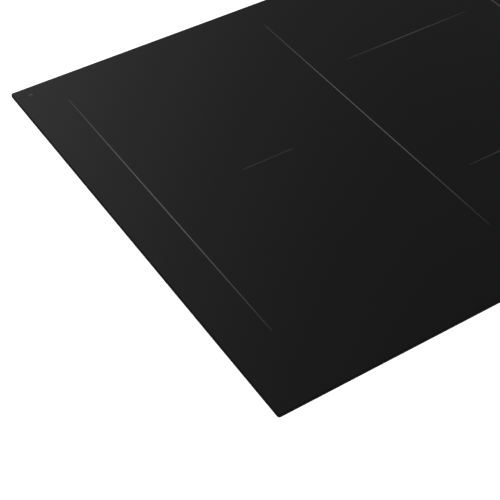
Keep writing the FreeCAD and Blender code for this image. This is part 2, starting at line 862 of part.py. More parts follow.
def coil_shield(zone):
    body = new_body(f"{zone.name}_shield_body")
    sketch = sketch_at(body, shield_low)
    half = tuple(side + d.shield_margin for side in zone.half)
    draw_rounded(sketch, zone.centre, half, d.shield_corner)
    draw_circle(sketch, zone.centre, d.sensor_hole)
    for place in zone.springs:
        draw_circle(sketch, place, d.peg_radius + d.peg_gap)
    pad(body, sketch, d.shield_thickness)
    return body


def coil_springs(zone):
    height = shield_low - d.coil_travel_gap - pan_floor_top
    inner = d.spring_radius - d.spring_wire
    return bundle(
        f"{zone.name}_spring_set",
        [
            tube(f"{zone.name}_spring", (*place, pan_floor_top), height, d.spring_radius, inner)
            for place in zone.springs
        ],
    )


for zone in zones:
    node(coil_mica(zone), f"{zone.name}_mica")
    node(coil_winding(zone), f"{zone.name}_winding")
    node(coil_former(zone), f"{zone.name}_former")
    node(coil_ferrites(zone), f"{zone.name}_ferrites")
    node(coil_shield(zone), f"{zone.name}_shield")
    node(coil_springs(zone), f"{zone.name}_springs")


# ---------------------------------------------------------------- power boards and mains filter

board_top = board_under + d.board_thickness


def board_part(kind, x, y):
    """One component standing on a board."""
    if kind == "capacitor":
        extent = (d.capacitor_width, d.capacitor_depth, d.capacitor_height)
        return slab(kind, (x, y), board_top, extent)
    if kind == "transistor":
        extent = (d.transistor_width, d.transistor_depth, d.transistor_height)
        return slab(kind, (x, y), board_top, extent)
    if kind == "can":
        return rod(kind, (x, y, board_top), d.capacitor_height, d.can_radius)
    return tube(kind, (x, y, board_top), d.choke_height, d.choke_radius, d.choke_hole)


def power_board(side, sx):
    centre = (sx * d.board_offset_x, d.board_y)
    board = (d.board_width, d.board_depth, d.board_thickness)
    node(slab(f"{side}_board_blank", centre, board_under, board), f"{side}_board")

    base = (d.heat_sink_width, d.heat_sink_length, d.heat_sink_base)
    sink_x = centre[0] - sx * d.heat_sink_offset
    sink = [slab(f"{side}_sink_base", (sink_x, d.board_y), board_top, base)]
    fin = (d.heat_sink_fin, d.heat_sink_length, d.heat_sink_fin_height)
    pitch = (d.heat_sink_width - d.heat_sink_fin) / (HEAT_SINK_FINS - 1)
    for step in range(HEAT_SINK_FINS):
        x = sink_x + (step - (HEAT_SINK_FINS - 1) / 2) * pitch
        sink.append(slab(f"{side}_sink_fin", (x, d.board_y), board_top + d.heat_sink_base, fin))
    node(fuse(f"{side}_sink", sink), f"{side}_heat_sink")

    parts = [board_part(kind, centre[0] - sx * x, centre[1] + y) for kind, x, y in BOARD_LAYOUT]
    node(bundle(f"{side}_components", parts), f"{side}_board_parts")


for side, sx in SIDES.items():
    power_board(side, sx)

carrier_extent = (
    2 * d.board_offset_x + d.board_width + 2 * d.carrier_margin,
    d.board_depth + 2 * d.carrier_margin,
    d.carrier_thickness,
)
carrier = [slab("carrier_plate", (Size.of(0), d.board_y), d.sheet_thickness, carrier_extent)]
for sx in SIDES.values():
    for dx in (-1, 1):
        for dy in (-1, 1):
            place = (
                sx * d.board_offset_x + dx * (d.board_width / 2 - d.board_corner_inset),
                d.board_y + dy * (d.board_depth / 2 - d.board_corner_inset),
                d.sheet_thickness + d.carrier_thickness,
            )
            carrier.append(rod("carrier_boss", place, d.boss_height, d.boss_radius))
rib_slot = (d.rib_width + 2 * d.rib_gap, d.rib_length + 2 * d.rib_gap, 2 * d.carrier_thickness)
rib_slots = [slab("carrier_rib_slot", place, d.sheet_thickness - d.rib_gap, rib_slot) for place in rib_places]
node(cut("carrier_slotted", fuse("carrier", carrier), rib_slots), "board_carrier")

filter_extent = (d.filter_width, d.filter_depth, d.board_thickness)
node(slab("filter_blank", (Size.of(0), d.filter_y), board_under, filter_extent), "filter_board")
filter_parts = [board_part(kind, Size.of(x), d.filter_y + y) for kind, x, y in FILTER_LAYOUT]
node(bundle("filter_components", filter_parts), "filter_parts")


# ---------------------------------------------------------------- fans


def fan(side, sx):
    x, y, low = sx * d.fan_offset_x, d.fan_y, d.sheet_thickness
    case = slab(f"{side}_fan_blank", (x, y), low, (d.fan_case_width, d.fan_case_width, d.fan_case_height))
    chamber = rod(f"{side}_chamber", (x, y, low + d.fan_base), d.fan_case_height, d.fan_bore)
    intake = rod(f"{side}_intake", (x, y, low - d.fan_base), 2 * d.fan_base + OVERLAP, d.fan_intake)
    shell = cut(f"{side}_fan_shell", case, [chamber, intake])
    strut = (2 * (d.fan_intake + OVERLAP), d.fan_strut_width, d.fan_base)
    cross_strut = (strut[1], strut[0], strut[2])
    motor = rod(f"{side}_motor", (x, y, low), d.fan_motor_height, d.fan_hub_radius)
    bearing = rod(
        f"{side}_bearing",
        (x, y, low + d.fan_motor_height - d.fan_shaft_depth - d.fan_hub_gap),
        2 * d.fan_shaft_depth,
        d.fan_shaft_radius + d.fan_shaft_gap,
    )
    case_parts = [
        shell,
        slab(f"{side}_strut", (x, y), low, strut),
        slab(f"{side}_cross_strut", (x, y), low, cross_strut),
        motor,
    ]
    node(cut(f"{side}_fan_body", fuse(f"{side}_fan_joined", case_parts), [bearing]), f"{side}_fan_case")

    hub_low = low + d.fan_motor_height + d.fan_hub_gap
    hub_height = d.fan_case_height - d.fan_motor_height - 2 * d.fan_hub_gap
    shaft_low = hub_low - d.fan_shaft_depth
    rotor = [
        rod(f"{side}_hub", (x, y, hub_low), hub_height, d.fan_hub_radius),
        rod(f"{side}_shaft", (x, y, shaft_low), d.fan_shaft_depth + OVERLAP, d.fan_shaft_radius),
    ]
    root = d.fan_hub_radius - OVERLAP
    length = d.fan_bore - d.fan_tip_gap - root
    tilt = radians(BLADE_PITCH_ANGLE)
    half_chord = d.fan_blade_chord / 2
    half_thickness = d.fan_blade_thickness / 2
    across = half_thickness * sin(tilt) - half_chord * cos(tilt)
    rise = hub_low + hub_height / 2 - half_chord * sin(tilt) - half_thickness * cos(tilt)
    for turn in range(FAN_BLADES):
        degrees = turn * 360 / FAN_BLADES
        angle = radians(degrees)
        low_corner = (
            x + root * cos(angle) - across * sin(angle),
            y + root * sin(angle) + across * cos(angle),
            rise,
        )
        blade = block(f"{side}_blade", low_corner, (length, d.fan_blade_chord, d.fan_blade_thickness))
        spin = FreeCAD.Rotation(FreeCAD.Vector(0, 0, 1), degrees)
        blade.Placement.Rotation = spin * FreeCAD.Rotation(FreeCAD.Vector(1, 0, 0), BLADE_PITCH_ANGLE)
        rotor.append(blade)
    node(fuse(f"{side}_rotor", rotor), f"{side}_fan_rotor")


for side, sx in SIDES.items():
    fan(side, sx)


# ---------------------------------------------------------------- touch control unit

touch_y = -pan_half[1] + d.frame_flange_width + d.touch_front_gap + d.touch_depth / 2
touch_top = d.housing_height - d.touch_glass_gap
touch_low = touch_top - d.touch_height
touch_board_top = touch_top - d.touch_board_drop
touch_centre = (Size.of(0), touch_y)
touch_outer = slab("touch_outer", touch_centre, touch_low, (d.touch_width, d.touch_depth, d.touch_height))
touch_well = slab(
    "touch_well",
    touch_centre,
    touch_board_top - d.board_thickness,
    (d.touch_width - 2 * d.touch_wall, d.touch_depth - 2 * d.touch_wall, d.touch_height),
)
touch_shell = [cut("touch_shell", touch_outer, [touch_well])]
for dx in (-1, 1):
    for dy in (-1, 1):
        place = (
            dx * (d.touch_width / 2 - d.board_corner_inset),
            touch_y + dy * (d.touch_depth / 2 - d.board_corner_inset),
            pan_floor_top,
        )
        touch_shell.append(rod("touch_leg", place, touch_low - pan_floor_top, d.touch_leg_radius))
node(fuse("touch_tray", touch_shell), "touch_carrier")

touch_board_extent = (
    d.touch_width - 2 * (d.touch_wall + d.lid_gap),
    d.touch_depth - 2 * (d.touch_wall + d.lid_gap),
    d.board_thickness,
)
touch_board_low = touch_board_top - d.board_thickness
node(slab("touch_circuit", touch_centre, touch_board_low, touch_board_extent), "touch_board")
key_y = touch_y - d.touch_depth / 4
key_height = d.housing_height - d.coil_travel_gap - touch_board_top
keys = [
    rod(
        "key_spring",
        ((step - (KEY_COUNT - 1) / 2) * d.key_pitch, key_y, touch_board_top),
        key_height,
        d.key_radius,
    )
    for step in range(KEY_COUNT)
]
node(bundle("key_spring_set", keys), "touch_springs")
displays = [
    slab(
        "display",
        (share * d.touch_width, touch_y + d.touch_depth / 4),
        touch_board_top,
        (d.display_width, d.display_depth, d.display_height),
    )
    for share in DISPLAY_SHARES
]
node(bundle("display_set", displays), "touch_displays")


# ---------------------------------------------------------------- terminal box, lid and cord clamp

wall = d.terminal_wall
box_extent = (d.terminal_width, d.terminal_depth, d.terminal_height)
box_blank = slab("terminal_blank", (d.terminal_x, terminal_y), terminal_low, box_extent)
box_well = block(
    "terminal_well",
    (terminal_left + wall, terminal_y - d.terminal_depth / 2 + wall, terminal_floor),
    (d.terminal_width - 2 * wall, d.terminal_depth, d.terminal_height),
)
hinge_z = terminal_low + d.hinge_radius
hinge_y = terminal_back + d.hinge_radius - wall
cord_y = terminal_y + d.cord_offset_y
cord_z = terminal_floor + d.saddle_height + d.cord_hole_radius
spigot = rod(
    "cord_spigot",
    (terminal_left + wall / 2, cord_y, cord_z),
    d.cord_spigot_length - wall / 2,
    d.cord_spigot_radius,
    "-x",
)
cord_bore_start = (terminal_left + 2 * wall, cord_y, cord_z)
cord_bore = rod("cord_bore", cord_bore_start, d.cord_spigot_length + 4 * wall, d.cord_hole_radius, "-x")
box_parts = [cut("terminal_shell", box_blank, [box_well]), spigot]
for x, y in ear_places:
    ear_size = (d.terminal_ear + OVERLAP, 2 * d.terminal_ear, wall)
    box_parts.append(slab("terminal_ear", (x, y), ear_low, ear_size))
hinge_span = d.hinge_pin_length + d.hinge_side_gap
for sx in (-1, 1):
    outer = d.terminal_x + sx * d.terminal_width / 2
    start = outer if sx < 0 else outer - hinge_span
    knuckle = rod("lid_knuckle", (start, hinge_y, hinge_z), hinge_span, d.hinge_radius, "+x")
    box_parts.append(knuckle)
box_tools = [cord_bore]
relief = rod(
    "lid_relief",
    (terminal_left + hinge_span, hinge_y, hinge_z),
    d.terminal_width - 2 * hinge_span,
    d.hinge_radius + d.lid_gap,
    "+x",
)
box_tools.append(relief)
pin_bore = rod(
    "lid_pin_bore",
    (terminal_left - wall, hinge_y, hinge_z),
    d.terminal_width + 2 * wall,
    d.hinge_pin_radius + d.hinge_gap,
    "+x",
)
box_tools.append(pin_bore)
for x, y in ear_places:
    ear_hole = rod("ear_hole", (x, y, ear_low - wall / 2), 2 * wall, d.screw_hole_radius)
    box_tools.append(ear_hole)
saddle_x = terminal_left + d.jaw_offset
saddle_extent = (d.jaw_width, d.jaw_length, d.saddle_height)
saddle = slab("cord_saddle", (saddle_x, cord_y), terminal_floor, saddle_extent)
for dy in (-1, 1):
    post_y = cord_y + dy * d.jaw_screw_spacing / 2
    post = rod("cord_post", (saddle_x, post_y, terminal_floor), wall, d.jaw_screw_radius * 2)
    box_parts.append(post)
box_parts.append(saddle)
node(cut("terminal_case", fuse("terminal_joined", box_parts), box_tools), "terminal_box")

lid_width = d.terminal_width - 2 * (wall + d.lid_gap)
lid_low = hinge_z + d.hinge_radius + d.lid_gap
lid_height = d.tray_height - d.lid_gap - lid_low
lid_y = terminal_back - wall
lid_panel = block(
    "lid_panel",
    (d.terminal_x - lid_width / 2, lid_y, lid_low),
    (lid_width, wall, lid_height),
)
barrel_length = d.terminal_width - 2 * (hinge_span + d.hinge_side_gap)
lid_neck = block(
    "lid_neck",
    (d.terminal_x - barrel_length / 2, lid_y, hinge_z),
    (barrel_length, wall, lid_low - hinge_z + OVERLAP),
)
barrel = rod(
    "lid_barrel",
    (d.terminal_x - barrel_length / 2, hinge_y, hinge_z),
    barrel_length,
    d.hinge_radius,
    "+x",
)
pin_length = barrel_length + 2 * d.hinge_side_gap + 2 * d.hinge_pin_length
pins = rod(
    "lid_pins",
    (d.terminal_x - pin_length / 2, hinge_y, hinge_z),
    pin_length,
    d.hinge_pin_radius,
    "+x",
)
tab = block(
    "lid_tab",
    (d.terminal_x - d.lid_tab_width / 2, lid_y + wall, lid_low + lid_height - 2 * wall),
    (d.lid_tab_width, wall, wall),
)
node(fuse("lid", [lid_panel, lid_neck, barrel, pins, tab]), "terminal_lid")

block_x = d.terminal_x + d.terminal_width / 2 - wall - d.block_wall_gap - d.block_width / 2
block_y = terminal_y - d.terminal_depth / 2 + wall + d.block_wall_gap + d.block_depth / 2
terminal_blank = slab(
    "block_blank",
    (block_x, block_y),
    terminal_floor,
    (d.block_width, d.block_depth, d.block_height),
)
slot_extent = (2 * d.block_screw_radius + OVERLAP, d.screw_recess_width, d.block_head_height)
seat_z = terminal_floor + d.block_screw_seat
wire_holes = []
screw_wells = []
terminal_screws = []
for step in range(TERMINAL_COUNT):
    x = block_x + (step - (TERMINAL_COUNT - 1) / 2) * d.block_pitch
    mouth = (x, block_y + d.block_depth / 2 + OVERLAP, terminal_floor + d.block_height / 3)
    wire_depth = d.block_depth / 2 + OVERLAP
    wire_holes.append(rod("wire_hole", mouth, wire_depth, d.block_screw_radius, "-y"))
    well_radius = d.block_screw_radius + d.block_screw_gap
    well = rod("screw_well", (x, block_y, seat_z), d.block_height, well_radius)
    screw_wells.append(well)
    head = rod("terminal_head", (x, block_y, seat_z), d.block_head_height, d.block_screw_radius)
    slot = slab("terminal_slot", (x, block_y), seat_z + d.block_head_height / 2, slot_extent)
    terminal_screws.append(cut("terminal_screw", head, [slot]))
node(cut("block_drilled", terminal_blank, wire_holes + screw_wells), "terminal_block")
node(bundle("terminal_screw_set", terminal_screws), "terminal_screws")

jaw_screw_places = [(saddle_x, cord_y + dy * d.jaw_screw_spacing / 2) for dy in (-1, 1)]
jaw_top = d.tray_height - d.jaw_head_height - d.jaw_roof_gap
jaw_low = jaw_top - d.jaw_height
jaw_blank = slab("jaw_blank", (saddle_x, cord_y), jaw_low, (d.jaw_width, d.jaw_length, d.jaw_height))
jaw_hole_depth = d.jaw_height + 2 * OVERLAP
jaw_holes = [
    rod("jaw_hole", (x, y, jaw_low - OVERLAP), jaw_hole_depth, d.jaw_screw_radius + d.jaw_screw_gap)
    for x, y in jaw_screw_places
]
jaw_groove = rod(
    "jaw_groove",
    (saddle_x - d.jaw_width, cord_y, jaw_low - d.cord_hole_radius / 2),
    2 * d.jaw_width,
    d.cord_hole_radius,
    "+x",
)
node(cut("jaw", jaw_blank, jaw_holes + [jaw_groove]), "cord_clamp")
jaw_screws = []
for x, y in jaw_screw_places:
    low = terminal_floor + wall
    head_low = jaw_top + d.jaw_roof_gap / 2
    shank = rod("jaw_shank", (x, y, low), head_low - low, d.jaw_screw_radius)
    head = rod("jaw_head", (x, y, head_low), d.jaw_head_height, 2 * d.jaw_screw_radius)
    jaw_screws.append(fuse("jaw_screw", [shank, head]))
node(bundle("jaw_screw_set", jaw_screws), "cord_clamp_screws")


# ---------------------------------------------------------------- swing clamps

hub_top = d.tray_height - d.clamp_end_gap
hub_low = hub_top - d.clamp_hub_height
bolt_seat = hub_low - d.clamp_end_gap


def swing_clamp(name, place, sy):
    """An arm on a hub, stowed along the pan's wall and pointing to the hob's middle."""
    x, y = place
    hub = rod(f"{name}_hub", (x, y, hub_low), d.clamp_hub_height, d.clamp_hub_radius)
    arm_y = y - sy * d.clamp_arm_length / 2
    arm_extent = (d.clamp_arm_width, d.clamp_arm_length, d.clamp_arm_thickness)
    arm = slab(f"{name}_arm", (x, arm_y), hub_low, arm_extent)
    lip_y = y - sy * (d.clamp_arm_length - d.clamp_lip_thickness / 2)
    lip_extent = (d.clamp_arm_width, d.clamp_lip_thickness, d.clamp_lip_height)
    lip = slab(f"{name}_lip", (x, lip_y), hub_low, lip_extent)
    bore_depth = d.clamp_hub_height + 2 * OVERLAP
    bore = rod(f"{name}_bore", (x, y, hub_low - OVERLAP), bore_depth, bolt_hole_radius)
    node(cut(f"{name}_body", fuse(f"{name}_blank", [hub, arm, lip]), [bore]), name)


bolts = []
for corner, place in clamp_places.items():
    swing_clamp(f"{corner}_clamp", place, ENDS[corner.split("_")[0]])
    head_low = bolt_seat - d.clamp_head_height
    head = rod("bolt_head", (*place, head_low), d.clamp_head_height, d.clamp_head_radius)
    reach = pan_floor_top + d.clamp_bolt_reach - bolt_seat
    shank = rod("bolt_shank", (*place, bolt_seat), reach, d.clamp_bolt_radius)
    bolts.append(fuse("clamp_bolt", [head, shank]))
node(bundle("clamp_bolt_set", bolts), "clamp_bolts")


# ---------------------------------------------------------------- checks and files

doc.recompute()
for item in doc.Objects:
    if {"Invalid", "Error"} & set(item.State):
        raise ValueError(f"{item.Name} failed: {item.State}")
for item in nodes:
    if item.Shape.isNull() or not item.Shape.isValid() or not item.Shape.Solids:
        raise ValueError(f"{item.Label} has no valid solid")

os.makedirs("parts", exist_ok=True)
for item in nodes:
    item.Shape.exportStep(os.path.join("parts", f"{item.Label}.step"))
print(f"{len(nodes)} nodes written")
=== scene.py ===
"""Looks of a built-in induction hob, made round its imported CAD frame.

Every piece is in metres in the CAD frame: X to the right, Y from the front edge to the back, Z up.
"""
import json
import logging
import math
from collections.abc import Mapping, Sequence
from dataclasses import dataclass, field
from enum import Enum

import bmesh
import bpy
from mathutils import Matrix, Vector


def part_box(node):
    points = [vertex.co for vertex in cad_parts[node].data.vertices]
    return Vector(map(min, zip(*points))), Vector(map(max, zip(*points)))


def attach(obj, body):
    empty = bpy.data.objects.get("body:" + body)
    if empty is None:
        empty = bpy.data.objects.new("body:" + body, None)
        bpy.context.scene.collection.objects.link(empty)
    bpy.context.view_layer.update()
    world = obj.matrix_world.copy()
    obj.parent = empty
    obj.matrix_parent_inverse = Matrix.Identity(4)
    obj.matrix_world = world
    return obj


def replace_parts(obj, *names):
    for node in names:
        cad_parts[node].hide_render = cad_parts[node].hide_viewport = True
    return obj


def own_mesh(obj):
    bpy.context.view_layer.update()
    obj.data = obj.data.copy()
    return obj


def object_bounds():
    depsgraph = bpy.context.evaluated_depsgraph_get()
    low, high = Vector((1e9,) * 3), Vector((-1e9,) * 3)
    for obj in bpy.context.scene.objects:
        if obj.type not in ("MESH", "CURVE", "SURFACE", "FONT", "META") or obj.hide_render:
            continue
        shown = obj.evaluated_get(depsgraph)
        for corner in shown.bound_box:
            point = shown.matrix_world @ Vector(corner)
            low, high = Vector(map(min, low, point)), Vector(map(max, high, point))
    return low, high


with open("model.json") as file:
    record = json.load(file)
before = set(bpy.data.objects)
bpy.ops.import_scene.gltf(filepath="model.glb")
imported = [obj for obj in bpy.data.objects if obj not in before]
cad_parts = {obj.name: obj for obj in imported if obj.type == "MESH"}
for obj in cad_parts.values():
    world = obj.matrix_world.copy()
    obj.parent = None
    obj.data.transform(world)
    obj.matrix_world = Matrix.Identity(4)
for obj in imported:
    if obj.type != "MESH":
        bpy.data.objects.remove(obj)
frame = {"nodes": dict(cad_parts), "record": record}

CAD_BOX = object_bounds()
MM = 0.001
log = logging.getLogger("hob")

Colour = tuple[float, float, float, float]
Pairs = Sequence[tuple[float, float]]


# ---------------------------------------------------------------- colour and nodes


def linear(hex_colour: str) -> Colour:
    """Turn an sRGB hex colour into a linear one.

    Args:
        hex_colour: Six hex digits after a hash sign.

    Returns:
        Linear red, green, blue and full alpha.
    """
    parts = [int(hex_colour[i : i + 2], 16) / 255 for i in (1, 3, 5)]
    red, green, blue = [p / 12.92 if p <= 0.04045 else ((p + 0.055) / 1.055) ** 2.4 for p in parts]
    return red, green, blue, 1.0


def add_node(
    tree: bpy.types.NodeTree,
    kind: str,
    settings: Mapping[str, object] | None = None,
    inputs: Mapping[str | int, object] | None = None,
) -> bpy.types.Node:
    """Add a shader node, set its properties, and link or set its inputs.

    Args:
        tree: Node tree that takes the node.
        kind: Node type without its ShaderNode prefix.
        settings: Property names and their values.
        inputs: Input names or numbers, each with a socket to link or a value to set.

    Returns:
        The new node.
    """
    node = tree.nodes.new(f"ShaderNode{kind}")
    for name, value in (settings or {}).items():
        setattr(node, name, value)
    for key, value in (inputs or {}).items():
        if isinstance(value, bpy.types.NodeSocket):
            tree.links.new(value, node.inputs[key])
        else:
            node.inputs[key].default_value = value
    return node


def seen_or_lit(tree: bpy.types.NodeTree, seen: object, lit: object) -> bpy.types.NodeSocket:
    """Let the studio's backdrop look bright while it lights the hob more gently.

    Args:
        tree: Node tree of the floor or the surroundings.
        seen: Strength that is seen directly, a number or a socket.
        lit: Strength that lights the hob and shows in its gloss, a number or a socket.

    Returns:
        Socket with the strength.
    """
    straight = add_node(tree, "LightPath").outputs["Is Camera Ray"]
    return add_node(tree, "MapRange", inputs={0: straight, 3: lit, 4: seen}).outputs[0]


def per_metre(size_mm: float) -> float:
    """Texture scale whose features are about this many millimetres across."""
    return 1.0 / (size_mm * MM)


def in_metres(pairs_mm: Pairs) -> list[tuple[float, float]]:
    """Pairs of insets and heights, from millimetres to metres."""
    return [(inset * MM, height * MM) for inset, height in pairs_mm]


def foot_and_rim(
    foot_mm: Pairs,
    rim_mm: Pairs,
    top: float,
) -> list[tuple[float, float]]:
    """Profile of a standing part, whose rim is placed by how far it lies below the top.

    Args:
        foot_mm: Insets and heights at its foot, in millimetres.
        rim_mm: Insets and heights at its rim, in millimetres, with the top at 0.
        top: Height of the top in metres.

    Returns:
        Insets and heights in metres, from the foot to the top.
    """
    return in_metres(foot_mm) + [(inset, top + height) for inset, height in in_metres(rim_mm)]


# ---------------------------------------------------------------- finishes


@dataclass(frozen=True)
class Surface:
    """A material in the making: its nodes, its Principled shader and the place on the object."""

    tree: bpy.types.NodeTree
    shader: bpy.types.Node
    place: bpy.types.NodeSocket

    def spaced(self, size_mm: float, **others: float) -> dict[str, object]:
        """Inputs of a texture whose features are about this many millimetres across.

        Args:
            size_mm: Size of the features.
            others: Other inputs of the texture.

        Returns:
            The inputs with the place on the object.
        """
        return {"Vector": self.place, "Scale": per_metre(size_mm), **others}


@dataclass(frozen=True)
class Finish:
    """A real surface: its name, colour and how it takes light."""

    name: str
    colour: str
    roughness: float
    metallic: float = 0.0
    ior: float = 1.5
    gloss: float = 0.5

    def material(self) -> bpy.types.Material:
        """Build the material once and return it after that.

        Returns:
            The material named for this finish.
        """
        found = bpy.data.materials.get(self.name)
        if found:
            return found
        made = bpy.data.materials.new(self.name)
        made.use_nodes = True
        tree = made.node_tree
        shader = tree.nodes["Principled BSDF"]
        shader.inputs["Base Color"].default_value = linear(self.colour)
        shader.inputs["Roughness"].default_value = self.roughness
        shader.inputs["Metallic"].default_value = self.metallic
        shader.inputs["IOR"].default_value = self.ior
        shader.inputs["Specular IOR Level"].default_value = self.gloss
        place = add_node(tree, "TexCoord").outputs["Object"]
        self.dress(Surface(tree, shader, place))
        return made

    def dress(self, work: Surface) -> None:
        """Add the surface's own pattern; each finish has its own.

        Args:
            work: The surface that is being made.
        """
        raise NotImplementedError

    def tint(self, work: Surface, factor: bpy.types.NodeSocket, other: str) -> None:
        """Mix the base colour with another one.

        Args:
            work: The surface that is being made.
            factor: Share of the other colour.
            other: The other colour in hex.
        """
        colours = {0: factor, 6: linear(self.colour), 7: linear(other)}
        mix = add_node(work.tree, "Mix", {"data_type": "RGBA"}, colours)
        work.tree.links.new(mix.outputs[2], work.shader.inputs["Base Color"])

    def polish(self, work: Surface, factor: bpy.types.NodeSocket, spread: float) -> None:
        """Vary the roughness either side of its middle value.

        Args:
            work: The surface that is being made.
            factor: Pattern from 0 to 1.
            spread: How far the roughness goes each way.
        """
        limits = {0: factor, 3: self.roughness - spread, 4: self.roughness + spread}
        span = add_node(work.tree, "MapRange", inputs=limits)
        work.tree.links.new(span.outputs[0], work.shader.inputs["Roughness"])

    @staticmethod
    def relief(work: Surface, height: bpy.types.NodeSocket, depth_mm: float) -> None:
        """Raise the surface by a pattern.

        Args:
            work: The surface that is being made.
            height: Pattern from 0 to 1.
            depth_mm: Height of the pattern in millimetres.
        """
        bump = add_node(work.tree, "Bump", inputs={"Height": height, "Distance": depth_mm * MM})
        work.tree.links.new(bump.outputs[0], work.shader.inputs["Normal"])


class GlassCeramic(Finish):
    """Rolled and polished black glass-ceramic: near-black depth under a clear gloss."""

    def dress(self, work: Surface) -> None:
        """Give the gloss the long soft waver that rolling leaves.

        Args:
            work: The surface that is being made.
        """
        rolled = add_node(work.tree, "TexNoise", inputs=work.spaced(60, Detail=1.0)).outputs[0]
        self.polish(work, rolled, 0.012)
        self.tint(work, rolled, "#070708")


class GroundEdge(Finish):
    """Glass-ceramic ground round its edge: matt black, since fine facets scatter the light."""

    def dress(self, work: Surface) -> None:
        """Add the wheel's grit; the real 0.05 mm grit is drawn at 0.6 mm so that it shows.

        Args:
            work: The surface that is being made.
        """
        grit = add_node(work.tree, "TexNoise", inputs=work.spaced(0.6)).outputs[0]
        self.tint(work, grit, "#0d0d0e")
        self.relief(work, grit, 0.02)


@dataclass(frozen=True)
class LineEnd:
    """How a printed line begins or ends: where, how long it fades and its share of ink there."""

    place_mm: float
    fade_mm: float
    share: float


# Ends far off the plate, for a mark that is even all over.
ENDLESS = (LineEnd(-1000.0, 1.0, 1.0), LineEnd(1000.0, 1.0, 1.0))


@dataclass(frozen=True)
class ScreenPrint(Finish):
    """Ceramic ink fired on the plate, its dots thinning out towards the ends of a line."""

    glass: str = "#060607"
    axis: int = 0
    low_end: LineEnd = ENDLESS[0]
    high_end: LineEnd = ENDLESS[1]
    full_share: float = 1.0

    def dress(self, work: Surface) -> None:
        """Fade from ink to bare plate at each end of the line.

        Args:
            work: The surface that is being made.
        """
        along = add_node(work.tree, "SeparateXYZ", inputs={0: work.place}).outputs[self.axis]
        fades = []
        for end, inward in ((self.low_end, 1), (self.high_end, -1)):
            full_at = (end.place_mm + inward * end.fade_mm) * MM
            limits = {1: end.place_mm * MM, 2: full_at, 3: end.share, 4: self.full_share}
            fade = add_node(work.tree, "MapRange", inputs={0: along, **limits})
            fades.append(fade.outputs[0])
        share = add_node(work.tree, "Math", {"operation": "MINIMUM"}, {0: fades[0], 1: fades[1]})
        colours = {0: share.outputs[0], 6: linear(self.glass), 7: linear(self.colour)}
        mix = add_node(work.tree, "Mix", {"data_type": "RGBA"}, colours)
        work.tree.links.new(mix.outputs[2], work.shader.inputs["Base Color"])


class FoamStrip(Finish):
    """Closed-cell foam, cut in strips: matt black with open cells on its cut faces."""

    def dress(self, work: Surface) -> None:
        """Show the foam's cells, 0.9 mm across, with painted shade in their hollows.

        Args:
            work: The surface that is being made.
        """
        cells = add_node(work.tree, "TexVoronoi", inputs=work.spaced(0.9)).outputs[0]
        # Painted shade: each cell's hollow is painted darker than its rim, with the same pattern as
        # the relief.
        self.tint(work, cells, "#34343a")
        self.relief(work, cells, 0.2)


class CastSilicone(Finish):
    """Silicone bead drawn from a nozzle: dark, slightly glossy, with soft ripples."""

    def dress(self, work: Surface) -> None:
        """Add the nozzle's ripples, 6 mm apart.

        Args:
            work: The surface that is being made.
        """
        ripple = add_node(work.tree, "TexNoise", inputs=work.spaced(6)).outputs[0]
        self.tint(work, ripple, "#232327")
        self.relief(work, ripple, 0.15)


@dataclass(frozen=True)
class GalvanisedSheet(Finish):
    """Hot-dip galvanised sheet: pale grey zinc with a fine frosted spangle."""

    spangle_mm: float = 5.0

    def dress(self, work: Surface) -> None:
        """Lay crystals of zinc with their own shade and gloss, and a rolled grain over them.

        Args:
            work: The surface that is being made.
        """
        crystals = work.spaced(self.spangle_mm)
        spangle = add_node(work.tree, "TexVoronoi", inputs=crystals).outputs["Color"]
        shade = add_node(work.tree, "SeparateXYZ", inputs={0: spangle}).outputs[0]
        cloud = work.spaced(35, Detail=4.0)
        clouds = add_node(work.tree, "TexNoise", inputs=cloud).outputs[0]
        both = add_node(work.tree, "Math", {"operation": "MULTIPLY"}, {0: shade, 1: clouds})
        self.tint(work, both.outputs[0], "#979da4")
        self.polish(work, shade, 0.07)
        grain = work.spaced(0.8, Detail=2.0)
        self.relief(work, add_node(work.tree, "TexNoise", inputs=grain).outputs[0], 0.015)


class BrightZinc(Finish):
    """Electroplated zinc on steel: bright, cool metal with a fine turned grain."""

    def dress(self, work: Surface) -> None:
        """Add plating clouds and the fine grain under them.

        Args:
            work: The surface that is being made.
        """
        cloud = add_node(work.tree, "TexNoise", inputs=work.spaced(3)).outputs[0]
        self.tint(work, cloud, "#9aa6b5")
        self.polish(work, cloud, 0.07)
        grain = add_node(work.tree, "TexNoise", inputs=work.spaced(0.3)).outputs[0]
        self.relief(work, grain, 0.01)


class DrawnSteel(Finish):
    """Drawn spring wire: dark grey steel with light draw marks."""

    def dress(self, work: Surface) -> None:
        """Add the draw marks.

        Args:
            work: The surface that is being made.
        """
        marks = add_node(work.tree, "TexNoise", inputs=work.spaced(0.6)).outputs[0]
        self.tint(work, marks, "#8a8f96")
        self.polish(work, marks, 0.08)


@dataclass(frozen=True)
class EnamelledLitz(Finish):
    """Litz cord of many enamelled copper wires: warm red-brown metal with a rope twist."""

    lay_mm: float = 9.0
    strands: int = 6

    def dress(self, work: Surface) -> None:
        """Twist the strands once in each lay length, along the cord's own length, with painted
        shade in the grooves and painted highlights on the crests.

        Args:
            work: The surface that is being made.
        """
        along = add_node(work.tree, "Attribute", {"attribute_name": "along"}).outputs["Fac"]
        around = add_node(work.tree, "Attribute", {"attribute_name": "around"}).outputs["Fac"]
        steps = (
            ("MULTIPLY", per_metre(self.lay_mm)),
            ("ADD", around),
            ("MULTIPLY", 2.0 * math.pi * self.strands),
        )
        phase = along
        for operation, value in steps:
            sums = {0: phase, 1: value}
            phase = add_node(work.tree, "Math", {"operation": operation}, sums).outputs[0]
        wave = add_node(work.tree, "Math", {"operation": "SINE"}, {0: phase}).outputs[0]
        height = add_node(work.tree, "MapRange", inputs={0: wave, 1: -1.0, 2: 1.0}).outputs[0]
        # Painted shade and highlight: the height that raises the strands also paints their crests
        # lighter and the grooves between them darker.
        self.tint(work, height, "#c9763f")
        self.relief(work, height, 0.3)


